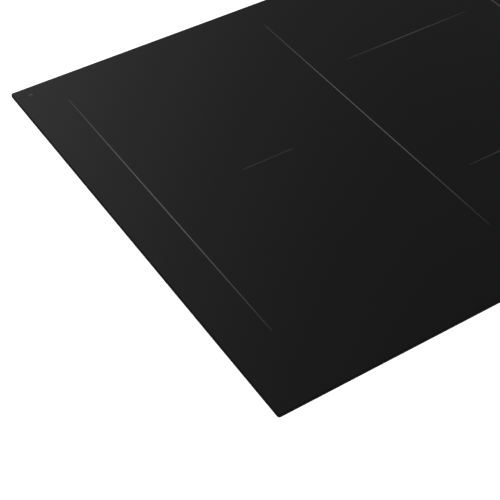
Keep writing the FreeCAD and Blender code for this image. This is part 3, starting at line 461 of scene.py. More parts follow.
class PressedMica(Finish):
    """Pressed mica paper: tan flakes with a soft pearly glint."""

    def dress(self, work: Surface) -> None:
        """Lay flakes about 4 mm across.

        Args:
            work: The surface that is being made.
        """
        flakes = add_node(work.tree, "TexVoronoi", inputs=work.spaced(4))
        shade = add_node(work.tree, "SeparateXYZ", inputs={0: flakes.outputs["Color"]}).outputs[0]
        self.tint(work, shade, "#cfc09a")
        self.polish(work, shade, 0.12)


@dataclass(frozen=True)
class MouldedPlastic(Finish):
    """Injection-moulded plastic: even colour with the fine spark-eroded grain of its tool."""

    grain_mm: float = 0.7
    grain_depth_mm: float = 0.03
    mottle: str = "#2a2a2e"

    def dress(self, work: Surface) -> None:
        """Add the tool's grain and the faint flow clouds of moulding.

        Args:
            work: The surface that is being made.
        """
        flow = add_node(work.tree, "TexNoise", inputs=work.spaced(25)).outputs[0]
        self.tint(work, flow, self.mottle)
        grit = work.spaced(self.grain_mm, Detail=3.0)
        grain = add_node(work.tree, "TexNoise", inputs=grit).outputs[0]
        self.polish(work, grain, 0.05)
        self.relief(work, grain, self.grain_depth_mm)


class SinteredFerrite(Finish):
    """Sintered ferrite: charcoal ceramic, pressed and fired, with pin-sized pores."""

    def dress(self, work: Surface) -> None:
        """Scatter pores 0.5 mm across, with painted shade in each pore.

        Args:
            work: The surface that is being made.
        """
        pores = add_node(work.tree, "TexVoronoi", inputs=work.spaced(0.5)).outputs[0]
        # Painted shade: each pore is painted darker towards its middle, with the same pattern as
        # the relief.
        self.tint(work, pores, "#3b3b40")
        self.relief(work, pores, 0.03)


@dataclass(frozen=True)
class RolledAluminium(Finish):
    """Rolled or extruded aluminium: bright grey with straight streaks along its run."""

    streaks: tuple[float, float, float] = (0.02, 1.0, 1.0)

    def dress(self, work: Surface) -> None:
        """Stretch a fine noise along the direction of rolling.

        Args:
            work: The surface that is being made.
        """
        run = add_node(work.tree, "Mapping", inputs={0: work.place, 3: self.streaks}).outputs[0]
        lines = {"Vector": run, "Scale": per_metre(0.8), "Detail": 3.0}
        streak = add_node(work.tree, "TexNoise", inputs=lines).outputs[0]
        self.tint(work, streak, "#a9adb2")
        self.polish(work, streak, 0.1)
        self.relief(work, streak, 0.01)


@dataclass(frozen=True)
class SolderMask(Finish):
    """Printed circuit laminate: green lacquer over raised copper tracks."""

    field_mm: float = 11.0
    track_edge: tuple[float, float] = (0.40, 0.46)

    def dress(self, work: Surface) -> None:
        """Raise square-cornered tracks and copper fields under the lacquer.

        Args:
            work: The surface that is being made.
        """
        fields = work.spaced(self.field_mm)
        copper = {"distance": "CHEBYCHEV", "feature": "F1"}
        field = add_node(work.tree, "TexVoronoi", copper, fields).outputs[0]
        limits = {0: field, 1: self.track_edge[0], 2: self.track_edge[1]}
        edge = add_node(work.tree, "MapRange", inputs=limits).outputs[0]
        self.tint(work, edge, "#0a3f22")
        self.relief(work, edge, 0.07)


class TurnedBrass(Finish):
    """Turned brass: warm yellow metal with faint tool rings."""

    def dress(self, work: Surface) -> None:
        """Add the tool's rings.

        Args:
            work: The surface that is being made.
        """
        rings = add_node(work.tree, "TexNoise", inputs=work.spaced(0.7)).outputs[0]
        self.tint(work, rings, "#8f7434")
        self.polish(work, rings, 0.06)


@dataclass(frozen=True)
class PaleBoard(Finish):
    """White studio board lit from behind, so it looks white and shadows on it stay faint."""

    seen_glow: float = 0.95
    lit_glow: float = 0.2

    def dress(self, work: Surface) -> None:
        """Let the board glow evenly over its faint mottle.

        Args:
            work: The surface that is being made.
        """
        mottle = add_node(work.tree, "TexNoise", inputs=work.spaced(400)).outputs[0]
        self.tint(work, mottle, "#f0f0f0")
        work.shader.inputs["Emission Color"].default_value = linear("#ffffff")
        glow = seen_or_lit(work.tree, self.seen_glow, self.lit_glow)
        work.tree.links.new(glow, work.shader.inputs["Emission Strength"])


class Copper(Finish):
    """Enamelled copper wire: bright orange-brown under clear enamel."""

    def dress(self, work: Surface) -> None:
        """Vary the enamel's shade a little from turn to turn.

        Args:
            work: The surface that is being made.
        """
        shade = add_node(work.tree, "TexNoise", inputs=work.spaced(3)).outputs[0]
        self.tint(work, shade, "#a3541f")
        self.polish(work, shade, 0.06)


GLASS = GlassCeramic("black_glass_ceramic", "#050506", 0.07, ior=1.53)
EDGE = GroundEdge("ground_glass_edge", "#09090a", 0.6, ior=1.53, gloss=0.05)
FOAM = FoamStrip("closed_cell_foam", "#19191b", 0.9)
SILICONE = CastSilicone("black_silicone", "#17171a", 0.45, ior=1.41)
SHEET = GalvanisedSheet("galvanised_steel", "#c2c6ca", 0.36, 1.0)
CLAMP_SHEET = GalvanisedSheet("galvanised_clamp_steel", "#b3b8bd", 0.32, 1.0, spangle_mm=2.5)
ZINC = BrightZinc("zinc_plated_steel", "#d0d4da", 0.24, 1.0)
SPRING = DrawnSteel("drawn_spring_steel", "#62666c", 0.3, 1.0)
LITZ = EnamelledLitz("enamelled_litz_copper", "#7d3d1c", 0.34, 0.85)
MICA = PressedMica("pressed_mica", "#a8966b", 0.45, ior=1.58)
FORMER = MouldedPlastic("glass_filled_polyester", "#202124", 0.5)
FERRITE = SinteredFerrite("sintered_ferrite", "#232326", 0.55, ior=2.2)
SHIELD = RolledAluminium("rolled_aluminium", "#d7dadd", 0.34, 1.0)
HEAT_SINK = RolledAluminium("extruded_aluminium", "#c6cacf", 0.4, 1.0, streaks=(1.0, 0.02, 1.0))
LAMINATE = SolderMask("solder_mask_laminate", "#12602f", 0.28, ior=1.55)
EPOXY = MouldedPlastic("moulded_epoxy", "#151517", 0.42, grain_mm=0.5)
FAN_BLACK = MouldedPlastic("black_fan_plastic", "#111113", 0.4, grain_depth_mm=0.015)
TERMINAL_BLACK = MouldedPlastic(
    "flame_retardant_plastic", "#19191b", 0.55, grain_mm=0.9, grain_depth_mm=0.05
)
NATURAL = MouldedPlastic("natural_polyamide", "#d9d6c8", 0.45, mottle="#c9c4b0")
BRASS = TurnedBrass("turned_brass", "#c79a45", 0.28, 1.0)
SENSOR_RUBBER = MouldedPlastic("white_sensor_silicone", "#dcdcd8", 0.55, ior=1.41, mottle="#c9c9c2")
FILM_CASE = MouldedPlastic("yellow_capacitor_case", "#d6ab2f", 0.4, mottle="#c99d22")
SLEEVE = MouldedPlastic("shrunk_pvc_sleeve", "#1b1f2b", 0.3, mottle="#242a3a")
CAN_METAL = RolledAluminium("can_aluminium", "#cfd2d6", 0.35, 1.0, streaks=(1.0, 1.0, 1.0))
CORE = MouldedPlastic("coated_iron_powder_core", "#c8b75a", 0.5, grain_mm=0.5, mottle="#b8a545")
COPPER = Copper("enamelled_copper_wire", "#c8702f", 0.28, 0.9)
TINNED = BrightZinc("tinned_copper_lead", "#c9cbcc", 0.3, 1.0)
BOARD = PaleBoard("painted_studio_board", "#f4f4f4", 0.9)


class Slot(Enum):
    """The record's material slots, each with the finish that its nodes take."""

    GLASS_CERAMIC = GLASS
    FOAM = FOAM
    SILICONE = SILICONE
    GALVANISED_SHEET = SHEET
    ZINC_STEEL = ZINC
    SPRING_STEEL = SPRING
    LITZ_COPPER = LITZ
    MICA_SHEET = MICA
    FORMER_PLASTIC = FORMER
    FERRITE = FERRITE
    ALUMINIUM_PLATE = SHIELD
    CIRCUIT_LAMINATE = LAMINATE
    COMPONENT_BODY = EPOXY
    FAN_PLASTIC = FAN_BLACK
    TERMINAL_PLASTIC = TERMINAL_BLACK
    TERMINAL_POLYAMIDE = NATURAL
    BRASS_SCREW = BRASS


# ---------------------------------------------------------------- mesh building


QUADRANTS = ((1, 1), (-1, 1), (-1, -1), (1, -1))
MERGE_MM = 0.001
SMOOTH_DEGREES = 40.0
ALL_SMOOTH_DEGREES = 180.0
CORNER_STEPS = 10
CIRCLE_STEPS = 14
HELIX_STEPS = 24
WIRE_SIDES = 8


@dataclass
class Shape:
    """Vertices and faces gathered for one mesh piece, with the finish of each face."""

    name: str
    points: list[Vector] = field(default_factory=list)
    faces: list[tuple[int, ...]] = field(default_factory=list)
    coats: list[Finish] = field(default_factory=list)

    def cover(self, rings: int, sides: int, finish: Finish, loop: bool) -> None:
        """Join the last rings of vertices with faces.

        Args:
            rings: How many rings were added last.
            sides: Vertices in each ring.
            finish: What the faces are made of.
            loop: Whether the last ring joins the first; otherwise both ends are capped.
        """
        first = len(self.points) - rings * sides
        before = len(self.faces)
        for ring in range(rings if loop else rings - 1):
            near = first + ring * sides
            far = first + (ring + 1) % rings * sides
            for step in range(sides):
                following = (step + 1) % sides
                self.faces.append((near + step, near + following, far + following, far + step))
        if not loop:
            last = first + (rings - 1) * sides
            self.faces.append(tuple(first + step for step in reversed(range(sides))))
            self.faces.append(tuple(last + step for step in range(sides)))
        self.coats += [finish] * (len(self.faces) - before)

    def sweep(
        self,
        path: Sequence[Vector],
        half: tuple[float, float],
        sides: int,
        finish: Finish,
        loop: bool = False,
    ) -> None:
        """Add a cord along a path, with an oval section that never twists.

        Args:
            path: Places along its middle, in metres.
            half: Half its width and half its height.
            sides: Number of sides round it.
            finish: What it is made of.
            loop: Whether its end joins its start.
        """
        count = len(path)
        across = Vector()
        for index, place in enumerate(path):
            ahead = path[(index + 1) % count if loop else min(index + 1, count - 1)]
            behind = path[index - 1 if loop else max(index - 1, 0)]
            tangent = (ahead - behind).normalized()
            if not index:
                upward = Vector((0, 0, 1)) if abs(tangent.z) < 0.9 else Vector((1, 0, 0))
                across = tangent.cross(upward)
            across = (across - tangent * across.dot(tangent)).normalized()
            upright = across.cross(tangent)
            for step in range(sides):
                angle = 2 * math.pi * step / sides
                offset = across * half[0] * math.cos(angle) + upright * half[1] * math.sin(angle)
                self.points.append(place + offset)
        self.cover(count, sides, finish, loop)

    def rise(
        self,
        foot: Vector,
        half: tuple[float, float],
        corner: float,
        profile: Pairs,
        finish: Finish,
        loop: bool = False,
    ) -> None:
        """Add a solid whose level sections are rounded rectangles, or circles with a full corner.

        Args:
            foot: Middle of the lowest section.
            half: Half its size along X and Y.
            corner: Radius of its corners.
            profile: How far each section is drawn in, and its height, in metres from the foot.
            finish: What it is made of.
            loop: Whether the last section joins the first, which makes a ring.
        """
        steps = CORNER_STEPS if half[0] > corner + MM else CIRCLE_STEPS
        for inset, height in profile:
            radius = max(corner - inset, 0.0)
            for quarter, (sx, sy) in enumerate(QUADRANTS):
                for step in range(steps):
                    angle = math.pi / 2 * (quarter + step / (steps - 1))
                    x = sx * (half[0] - inset - radius) + radius * math.cos(angle)
                    y = sy * (half[1] - inset - radius) + radius * math.sin(angle)
                    self.points.append(foot + Vector((x, y, height)))
        self.cover(len(profile), 4 * steps, finish, loop)

    def piece(
        self,
        body: str,
        slot: str,
        smooth_degrees: float = SMOOTH_DEGREES,
    ) -> bpy.types.Object:
        """Turn what was gathered into a piece that rides a body, or into a plain object.

        Args:
            body: The CAD body that it moves with; empty for the studio's own objects.
            slot: The record's material slot; not used.
            smooth_degrees: Edges sharper than this stay sharp.

        Returns:
            The new object, linked to the scene.
        """
        mesh = bpy.data.meshes.new(self.name)
        mesh.from_pydata([tuple(point) for point in self.points], [], self.faces)
        finishes = list(dict.fromkeys(self.coats))
        for finish in finishes:
            mesh.materials.append(finish.material())
        for face, finish in zip(mesh.polygons, self.coats):
            face.material_index = finishes.index(finish)
        tidy = bmesh.new()
        tidy.from_mesh(mesh)
        bmesh.ops.remove_doubles(tidy, verts=tidy.verts, dist=MERGE_MM * MM)
        bmesh.ops.recalc_face_normals(tidy, faces=tidy.faces)
        tidy.to_mesh(mesh)
        tidy.free()
        mesh.shade_smooth()
        mesh.set_sharp_from_angle(angle=math.radians(smooth_degrees))
        piece = bpy.data.objects.new(self.name, mesh)
        bpy.context.scene.collection.objects.link(piece)
        if body:
            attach(piece, body)
        return piece


def helix(centre: Vector, radius: float, low: float, high: float, turns: float) -> list[Vector]:
    """Places along a coil spring's wire, with closed end turns.

    Args:
        centre: Foot of the axis; its height isn't used.
        radius: Radius to the wire's middle.
        low: Height of the lowest wire middle.
        high: Height of the highest wire middle.
        turns: Number of turns.

    Returns:
        Places from bottom to top.
    """
    steps = int(turns * HELIX_STEPS)
    places = []
    for step in range(steps + 1):
        share = step / steps
        rise = share - math.sin(2 * math.pi * share) / (2 * math.pi)
        angle = 2 * math.pi * turns * share
        x = centre.x + radius * math.cos(angle)
        y = centre.y + radius * math.sin(angle)
        places.append(Vector((x, y, low + (high - low) * rise)))
    return places


# ---------------------------------------------------------------- sub-assemblies


@dataclass
class PlateEdge:
    """The plate's ground edge: a matt band round it, a hair proud of the glass."""

    corner_mm: float = 2.5
    round_mm: float = 0.5
    bevel_mm: float = 0.5
    proud_mm: float = 0.03
    backing_mm: float = 0.005
    arc_steps: int = 6

    def build(self) -> None:
        """Sweep the edge's section round the plate's outline."""
        low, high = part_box("glass_top")
        half = ((high.x - low.x) / 2, (high.y - low.y) / 2)
        thickness = high.z - low.z
        front = self.section(thickness, self.proud_mm)
        back = self.section(thickness, self.backing_mm)
        foot = Vector((0, 0, low.z))
        shape = Shape("glass_ground_edge")
        shape.rise(foot, half, self.corner_mm * MM, front + back[::-1], EDGE, loop=True)
        shape.piece("root", "glass_ceramic")

    def section(self, thickness: float, proud_mm: float) -> list[tuple[float, float]]:
        """Section of the edge, from its bevel up to the plate's face.

        Args:
            thickness: The plate's thickness in metres.
            proud_mm: How far the section stands off the glass.

        Returns:
            Inset and height pairs in metres.
        """
        proud = proud_mm * MM
        rounding = self.round_mm * MM
        reach = rounding + proud
        places = [(self.bevel_mm * MM, -proud), (-proud, self.bevel_mm * MM)]
        for step in range(self.arc_steps + 1):
            angle = math.pi / 2 * step / self.arc_steps
            height = thickness - rounding + reach * math.sin(angle)
            places.append((rounding - reach * math.cos(angle), height))
        return places


@dataclass
class PlatePrint:
    """Zone lines and key marks printed on the plate, a hair above its face."""

    ink: str = "#737476"
    ink_roughness: float = 0.16
    ink_low_mm: float = 0.005
    ink_high_mm: float = 0.03
    line_mm: float = 1.0
    tick_mm: float = 0.5
    zone_x_mm: float = 126.3
    middle_x_mm: float = 0.6
    zone_middle_y_mm: float = 19.3
    zone_half_y_mm: float = 197.3
    tick_half_mm: float = 30.0
    cross_half_mm: float = 86.5
    front_cross_y_mm: float = -99.5
    rear_cross_y_mm: float = 113.0
    corner_mark_mm: tuple[float, float] = (-282.6, 246.6)
    corner_mark_half_mm: float = 2.0
    key_y_mm: float = -214.0
    key_pitch_mm: float = 20.0
    key_half_mm: tuple[float, float] = (2.2, 0.3)
    first_key_x_mm: float = 110.0
    keys: int = 8
    strip_corner_share: float = 0.3
    # Each fade's length in millimetres, and the share of ink at the line's very end.
    zone_front_fade: tuple[float, float] = (150.0, 0.15)
    zone_rear_fade: tuple[float, float] = (122.0, 0.33)
    tick_fade: tuple[float, float] = (6.0, 0.6)
    cross_fade: tuple[float, float] = (72.0, 0.12)
    # The share of ink between the fades, or all over a mark without any.
    zone_share: float = 1.0
    tick_share: float = 0.54
    cross_share: float = 0.68
    corner_mark_share: float = 0.3
    key_share: float = 0.7

    def strip(
        self,
        name: str,
        middle: tuple[float, float],
        half: tuple[float, float],
        finish: Finish,
    ) -> None:
        """Lay one printed strip.

        Args:
            name: The piece's name.
            middle: Its middle in millimetres.
            half: Half its extent along X and Y in millimetres.
            finish: The ink.
        """
        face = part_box("glass_top")[1].z
        shape = Shape(name)
        foot = Vector((middle[0] * MM, middle[1] * MM, face))
        profile = in_metres([(0.0, self.ink_low_mm), (0.0, self.ink_high_mm)])
        corner = min(half) * MM * self.strip_corner_share
        shape.rise(foot, (half[0] * MM, half[1] * MM), corner, profile, finish)
        shape.piece("root", "glass_ceramic")

    def fading(
        self,
        name: str,
        axis: int,
        low_end: LineEnd,
        high_end: LineEnd,
        full_share: float,
    ) -> ScreenPrint:
        """Ink that thins out towards the ends of a line.

        Args:
            name: The ink's name.
            axis: Which way the line runs, 0 for X and 1 for Y.
            low_end: How the line begins.
            high_end: How the line ends.
            full_share: Share of ink between the two fades.

        Returns:
            The finish.
        """
        return ScreenPrint(
            name,
            self.ink,
            self.ink_roughness,
            ior=GLASS.ior,
            axis=axis,
            low_end=low_end,
            high_end=high_end,
            full_share=full_share,
        )

    def build(self) -> None:
        """Print the zone lines, the cross lines, the corner mark and the key marks."""
        front = self.zone_middle_y_mm - self.zone_half_y_mm
        rear = self.zone_middle_y_mm + self.zone_half_y_mm
        ends = LineEnd(front, *self.zone_front_fade), LineEnd(rear, *self.zone_rear_fade)
        zone_ink = self.fading("zone_line_ink", 1, *ends, self.zone_share)
        half = (self.line_mm / 2, self.zone_half_y_mm)
        for name, column in (("left", -2), ("middle", 0), ("right", 2)):
            x = self.middle_x_mm + column * self.zone_x_mm
            self.strip(f"zone_line_{name}", (x, self.zone_middle_y_mm), half, zone_ink)
        tick_x = self.middle_x_mm - self.zone_x_mm
        ends = [LineEnd(tick_x + side * self.tick_half_mm, *self.tick_fade) for side in (-1, 1)]
        tick_ink = self.fading("tick_ink", 0, *ends, self.tick_share)
        half = (self.tick_half_mm, self.tick_mm / 2)
        self.strip("zone_tick", (tick_x, self.zone_middle_y_mm), half, tick_ink)
        across = self.zone_x_mm, self.cross_half_mm
        ends = [LineEnd(across[0] + side * across[1], *self.cross_fade) for side in (-1, 1)]
        cross_ink = self.fading("cross_ink", 0, *ends, self.cross_share)
        half = (self.cross_half_mm, self.line_mm / 2)
        for name, y in (("front", self.front_cross_y_mm), ("rear", self.rear_cross_y_mm)):
            self.strip(f"zone_cross_{name}", (self.zone_x_mm, y), half, cross_ink)
        mark_ink = self.fading("corner_mark_ink", 1, *ENDLESS, self.corner_mark_share)
        half = (self.corner_mark_half_mm, self.corner_mark_half_mm)
        self.strip("corner_mark", self.corner_mark_mm, half, mark_ink)
        key_ink = self.fading("key_ink", 0, *ENDLESS, self.key_share)
        for key in range(self.keys):
            x = self.first_key_x_mm + key * self.key_pitch_mm
            self.strip(f"key_mark_{key + 1}", (x, self.key_y_mm), self.key_half_mm, key_ink)


@dataclass
class CoilAssembly:
    """A zone's litz winding, its springs and the sensor in its middle."""

    zone: str
    hole_mm: float = 22.0
    strand_pitch_mm: float = 3.4
    inner_corner_mm: float = 18.0
    outer_corner_mm: float = 70.0
    cord_sides: int = 10
    cord_half_width_share: float = 0.48
    cord_height_share: float = 0.98
    steps_per_turn: int = 80
    spring_radius_mm: float = 5.5
    spring_wire_mm: float = 1.0
    spring_turns: float = 5.5
    travel_mm: float = 1.5
    # Insets and heights of the sensor's cap; the tip's heights count from the mica's face.
    sensor_radius_mm: float = 8.6
    sensor_collar_mm: Pairs = ((2.6, 0.0), (0.0, 0.3), (0.0, 2.6), (2.1, 3.4))
    sensor_tip_mm: Pairs = ((2.6, -2.0), (3.4, -0.5), (4.4, 0.0))

    @property
    def body(self) -> str:
        """The moving body that carries the coil."""
        return f"{self.zone}_coil"

    def build(self) -> None:
        """Build the winding, the springs and the sensor."""
        self.build_winding()
        self.build_springs()
        self.build_sensor()

    @staticmethod
    def round_turn(share: float, half: tuple[float, float], corner: float) -> Vector:
        """A place on a rounded rectangle, by its share of the way round.

        Args:
            share: Share of the way round, from 0 at the right-hand side's front end.
            half: Half sizes of the rectangle.
            corner: Its corner radius.

        Returns:
            The place relative to the rectangle's middle.
        """
        flats = (half[0] - corner, half[1] - corner)
        arc = corner * math.pi / 2
        left = share * 4 * (arc + flats[0] + flats[1])
        for side, (sx, sy) in enumerate(QUADRANTS):
            bend = Vector((sx * flats[0], sy * flats[1], 0))
            outward = Vector((math.cos(math.pi / 2 * side), math.sin(math.pi / 2 * side), 0))
            run = Vector((-outward.y, outward.x, 0))
            flat = 2 * flats[1 - side % 2]
            if left <= flat:
                return bend - run * (flat - left) + outward * corner
            left -= flat
            if left <= arc or side == 3:
                angle = math.pi / 2 * side + left / corner
                return bend + Vector((math.cos(angle), math.sin(angle), 0)) * corner
            left -= arc
        raise ValueError("the share is more than one turn")

    def build_winding(self) -> None:
        """Wind the litz cord in one flat spiral from the inner outline to the outer one."""
        node = f"{self.zone}_winding"
        low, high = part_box(node)
        centre = (low + high) / 2
        outer = ((high.x - low.x) / 2, (high.y - low.y) / 2)
        hole = self.hole_mm * MM
        is_round = abs(outer[0] - outer[1]) < MM
        inner = (hole + outer[0] - outer[1], hole)
        span = outer[1] - hole
        turns = round(span / (self.strand_pitch_mm * MM))
        pitch = span / turns
        path = []
        for step in range((turns - 1) * self.steps_per_turn + 1):
            turn = step / self.steps_per_turn
            grow = pitch * (turn + 0.5)
            half = (inner[0] + grow, inner[1] + grow)
            wider = (self.outer_corner_mm - self.inner_corner_mm) * grow / span
            corner = half[0] if is_round else (self.inner_corner_mm + wider) * MM
            path.append(centre + self.round_turn(turn % 1, half, corner))
        height = (high.z - low.z) / 2 * self.cord_height_share
        shape = Shape(f"{node}_litz")
        shape.sweep(path, (pitch * self.cord_half_width_share, height), self.cord_sides, LITZ)
        piece = shape.piece(self.body, "litz_copper", ALL_SMOOTH_DEGREES)
        self.mark_cord(piece, path)
        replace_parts(piece, node)

    def mark_cord(self, piece: bpy.types.Object, path: Sequence[Vector]) -> None:
        """Store how far along and around the cord each vertex is, for the strands' twist.

        Args:
            piece: The swept cord.
            path: Places along its middle.
        """
        along = piece.data.attributes.new("along", "FLOAT", "POINT")
        around = piece.data.attributes.new("around", "FLOAT", "POINT")
        length = 0.0
        for ring, place in enumerate(path):
            if ring:
                length += (place - path[ring - 1]).length
            for step in range(self.cord_sides):
                vertex = ring * self.cord_sides + step
                along.data[vertex].value = length
                around.data[vertex].value = abs(2 * step / self.cord_sides - 1)

    def build_springs(self) -> None:
        """Wind four coil springs between the pan's floor and the carrier plate."""
        node = f"{self.zone}_springs"
        low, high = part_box(node)
        outer = self.spring_radius_mm * MM
        wire = self.spring_wire_mm * MM / 2
        ends = low.z + wire, high.z - wire
        shape = Shape(f"{node}_wire")
        for x in (low.x + outer, high.x - outer):
            for y in (low.y + outer, high.y - outer):
                path = helix(Vector((x, y, 0)), outer - wire, *ends, self.spring_turns)
                shape.sweep(path, (wire, wire), WIRE_SIDES, SPRING)
        piece = shape.piece("root", "spring_steel")
        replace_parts(piece, node)
        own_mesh(piece)

    def build_sensor(self) -> None:
        """Turn the temperature sensor's silicone cap, held in the former's bore."""
        low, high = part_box(f"{self.zone}_former")
        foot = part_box(f"{self.zone}_shield")[1].z
        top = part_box(f"{self.zone}_mica")[1].z - foot
        profile = foot_and_rim(self.sensor_collar_mm, self.sensor_tip_mm, top)
        radius = self.sensor_radius_mm * MM
        centre = Vector(((low.x + high.x) / 2, (low.y + high.y) / 2, foot))
        shape = Shape(f"{self.zone}_sensor")
        shape.rise(centre, (radius, radius), radius, profile, SENSOR_RUBBER)
        shape.piece(self.body, "former_plastic")


@dataclass(frozen=True)
class FilmCapacitor:
    """A film capacitor in a moulded case, with its sealed underside sunk a little."""

    half_mm: tuple[float, float] = (20.0, 11.0)
    corner_mm: float = 1.6
    height_mm: float = 14.0
    foot_mm: Pairs = ((1.5, 0.6), (1.5, 0.0), (0.3, 0.0), (0.0, 0.3))
    rim_mm: Pairs = ((0.0, -1.2), (0.35, -0.35), (1.2, 0.0))

    def add(self, shape: Shape, foot: Vector) -> None:
        """Add the case.

        Args:
            shape: The board's components.
            foot: Where its middle stands on the board.
        """
        half = (self.half_mm[0] * MM, self.half_mm[1] * MM)
        profile = foot_and_rim(self.foot_mm, self.rim_mm, self.height_mm * MM)
        shape.rise(foot, half, self.corner_mm * MM, profile, FILM_CASE)


@dataclass(frozen=True)
class CanCapacitor:
    """An aluminium can in a shrunk sleeve, with a rolled groove and a scored vent on its top."""

    radius_mm: float = 10.0
    height_mm: float = 14.0
    foot_mm: Pairs = ((0.8, 0.0), (0.0, 0.5), (0.0, 2.0))
    groove_mm: Pairs = ((0.7, 2.6), (0.7, 3.0), (0.0, 3.6))
    rim_mm: Pairs = ((0.0, -0.7), (0.5, -0.1), (1.6, -0.1), (1.6, -0.4))
    lid_drop_mm: float = 0.5
    lid_mm: Pairs = ((1.7, 0.0), (1.7, 0.2), (2.1, 0.3))
    score_half_mm: tuple[float, float] = (4.5, 0.25)
    score_corner_mm: float = 0.1
    score_mm: Pairs = ((0.0, 0.1), (0.0, 0.45))

    def add(self, shape: Shape, foot: Vector) -> None:
        """Add the sleeve, the lid and its scored cross.

        Args:
            shape: The board's components.
            foot: Where its middle stands on the board.
        """
        radius = self.radius_mm * MM
        foot_mm = (*self.foot_mm, *self.groove_mm)
        profile = foot_and_rim(foot_mm, self.rim_mm, self.height_mm * MM)
        shape.rise(foot, (radius, radius), radius, profile, SLEEVE)
        lid = foot + Vector((0, 0, (self.height_mm - self.lid_drop_mm) * MM))
        shape.rise(lid, (radius, radius), radius, in_metres(self.lid_mm), CAN_METAL)
        score = (self.score_half_mm[0] * MM, self.score_half_mm[1] * MM)
        for half in (score, score[::-1]):
            shape.rise(lid, half, self.score_corner_mm * MM, in_metres(self.score_mm), CAN_METAL)


@dataclass(frozen=True)
class Choke:
    """A ring core with turns of enamelled wire round most of it."""

    radius_mm: float = 15.0
    hole_mm: float = 6.0
    height_mm: float = 13.0
    bow_mm: float = 0.6
    wire_mm: float = 1.6
    wire_sides: int = 6
    wire_share: float = 0.98
    turns: int = 20
    steps_per_turn: int = 16
    first_degrees: float = 25.0
    span_degrees: float = 310.0
    # How square the turns are: 0 leaves them oval.
    squareness: float = 0.6

    def add(self, shape: Shape, foot: Vector) -> None:
        """Add the core and its winding.

        Args:
            shape: The board's components.
            foot: Where its middle stands on the board.
        """
        wire = self.wire_mm * MM
        outer, hole, height = self.radius_mm * MM, self.hole_mm * MM, self.height_mm * MM
        core_width, core_height = outer - hole - 2 * wire, height - 2 * wire
        bow = self.bow_mm * MM
        section = [(bow, 0.0), (0.0, bow), (0.0, core_height - bow), (bow, core_height)]
        section += [(core_width - inset, rise) for inset, rise in reversed(section)]
        core_foot = foot + Vector((0, 0, wire))
        shape.rise(core_foot, (outer - wire,) * 2, outer - wire, section, CORE, loop=True)
        reach = ((outer - hole - wire) / 2, (height - wire) / 2)
        centre = foot + Vector((0, 0, height / 2))
        path = []
        steps = self.turns * self.steps_per_turn
        for step in range(steps + 1):
            across, rise = self.squared(2 * math.pi * step / self.steps_per_turn, reach)
            radius = (outer + hole) / 2 + across
            spin = math.radians(self.first_degrees) + math.radians(self.span_degrees) * step / steps
            path.append(centre + Vector((radius * math.cos(spin), radius * math.sin(spin), rise)))
        half = wire / 2 * self.wire_share
        shape.sweep(path, (half, half), self.wire_sides, COPPER)

    def squared(self, turn: float, reach: tuple[float, float]) -> tuple[float, float]:
        """A place on one turn of the wire, which hugs the core's square section.

        Args:
            turn: Angle round the section.
            reach: Half the turn's width and half its height.

        Returns:
            The place across and up from the section's middle.
        """
        waves = math.cos(turn), math.sin(turn)
        swell = max(abs(waves[0]), abs(waves[1])) ** -self.squareness
        across, rise = [
            most * min(1.0, swell * abs(wave)) * math.copysign(1, wave)
            for most, wave in zip(reach, waves)
        ]
        return across, rise


@dataclass(frozen=True)
class Transistor:
    """A power transistor: a moulded body on a metal tab, with three tinned leads."""

    half_mm: tuple[float, float] = (7.0, 6.5)
    shift_mm: float = 2.5
    tab_corner_mm: float = 0.6
    tab_mm: Pairs = ((0.6, 0.0), (0.6, 1.2))
    case_corner_mm: float = 0.5
    case_foot_mm: Pairs = ((0.8, 0.4), (0.0, 1.2), (0.0, 1.8))
    case_rim_mm: Pairs = ((0.35, -0.15), (0.5, 0.0))
    height_mm: float = 4.5
    lead_half_mm: tuple[float, float] = (0.6, 2.5)
    lead_corner_mm: float = 0.2
    lead_mm: Pairs = ((0.0, 1.2), (0.0, 1.8))
    lead_pitch_mm: float = 4.0
    lead_y_mm: float = -6.4

    def add(self, shape: Shape, foot: Vector) -> None:
        """Add the tab, the moulded case and the leads.

        Args:
            shape: The board's components.
            foot: Where its middle stands on the board.
        """
        half = (self.half_mm[0] * MM, self.half_mm[1] * MM)
        body = foot + Vector((0, self.shift_mm * MM, 0))
        shape.rise(body, half, self.tab_corner_mm * MM, in_metres(self.tab_mm), HEAT_SINK)
        case = foot_and_rim(self.case_foot_mm, self.case_rim_mm, self.height_mm * MM)
        shape.rise(body, half, self.case_corner_mm * MM, case, EPOXY)
        half = (self.lead_half_mm[0] * MM, self.lead_half_mm[1] * MM)
        for lead in (-1, 0, 1):
            place = foot + Vector((lead * self.lead_pitch_mm * MM, self.lead_y_mm * MM, 0))
            shape.rise(place, half, self.lead_corner_mm * MM, in_metres(self.lead_mm), TINNED)


class Component(Enum):
    """Kinds of component that stand on the boards, each with its maker."""

    FILM_CAPACITOR = FilmCapacitor()
    CAN_CAPACITOR = CanCapacitor()
    CHOKE = Choke()
    TRANSISTOR = Transistor()


# Each component's kind and its place from the board's middle, in millimetres.
FILM, CAN, CHOKE, CHIP = Component
POWER_LAYOUT = (
    (FILM, -70, -95),
    (FILM, -70, -66),
    (FILM, -70, -37),
    (CAN, -80, -5),
    (CAN, -56, -5),
    (CAN, -80, 22),
    (CAN, -56, 22),
    (CHOKE, -66, 60),
    (CHOKE, -18, 90),
    (CHOKE, -18, 54),
    (CHIP, 18, -75),
    (CHIP, 18, -45),
    (CHIP, 18, -15),
    (CHIP, 18, 15),
)
FILTER_LAYOUT = (
    (CHOKE, -32, 12),
    (CHOKE, 2, 12),
    (FILM, 28, -20),
    (FILM, -22, -20),
    (CAN, 34, 12),
)


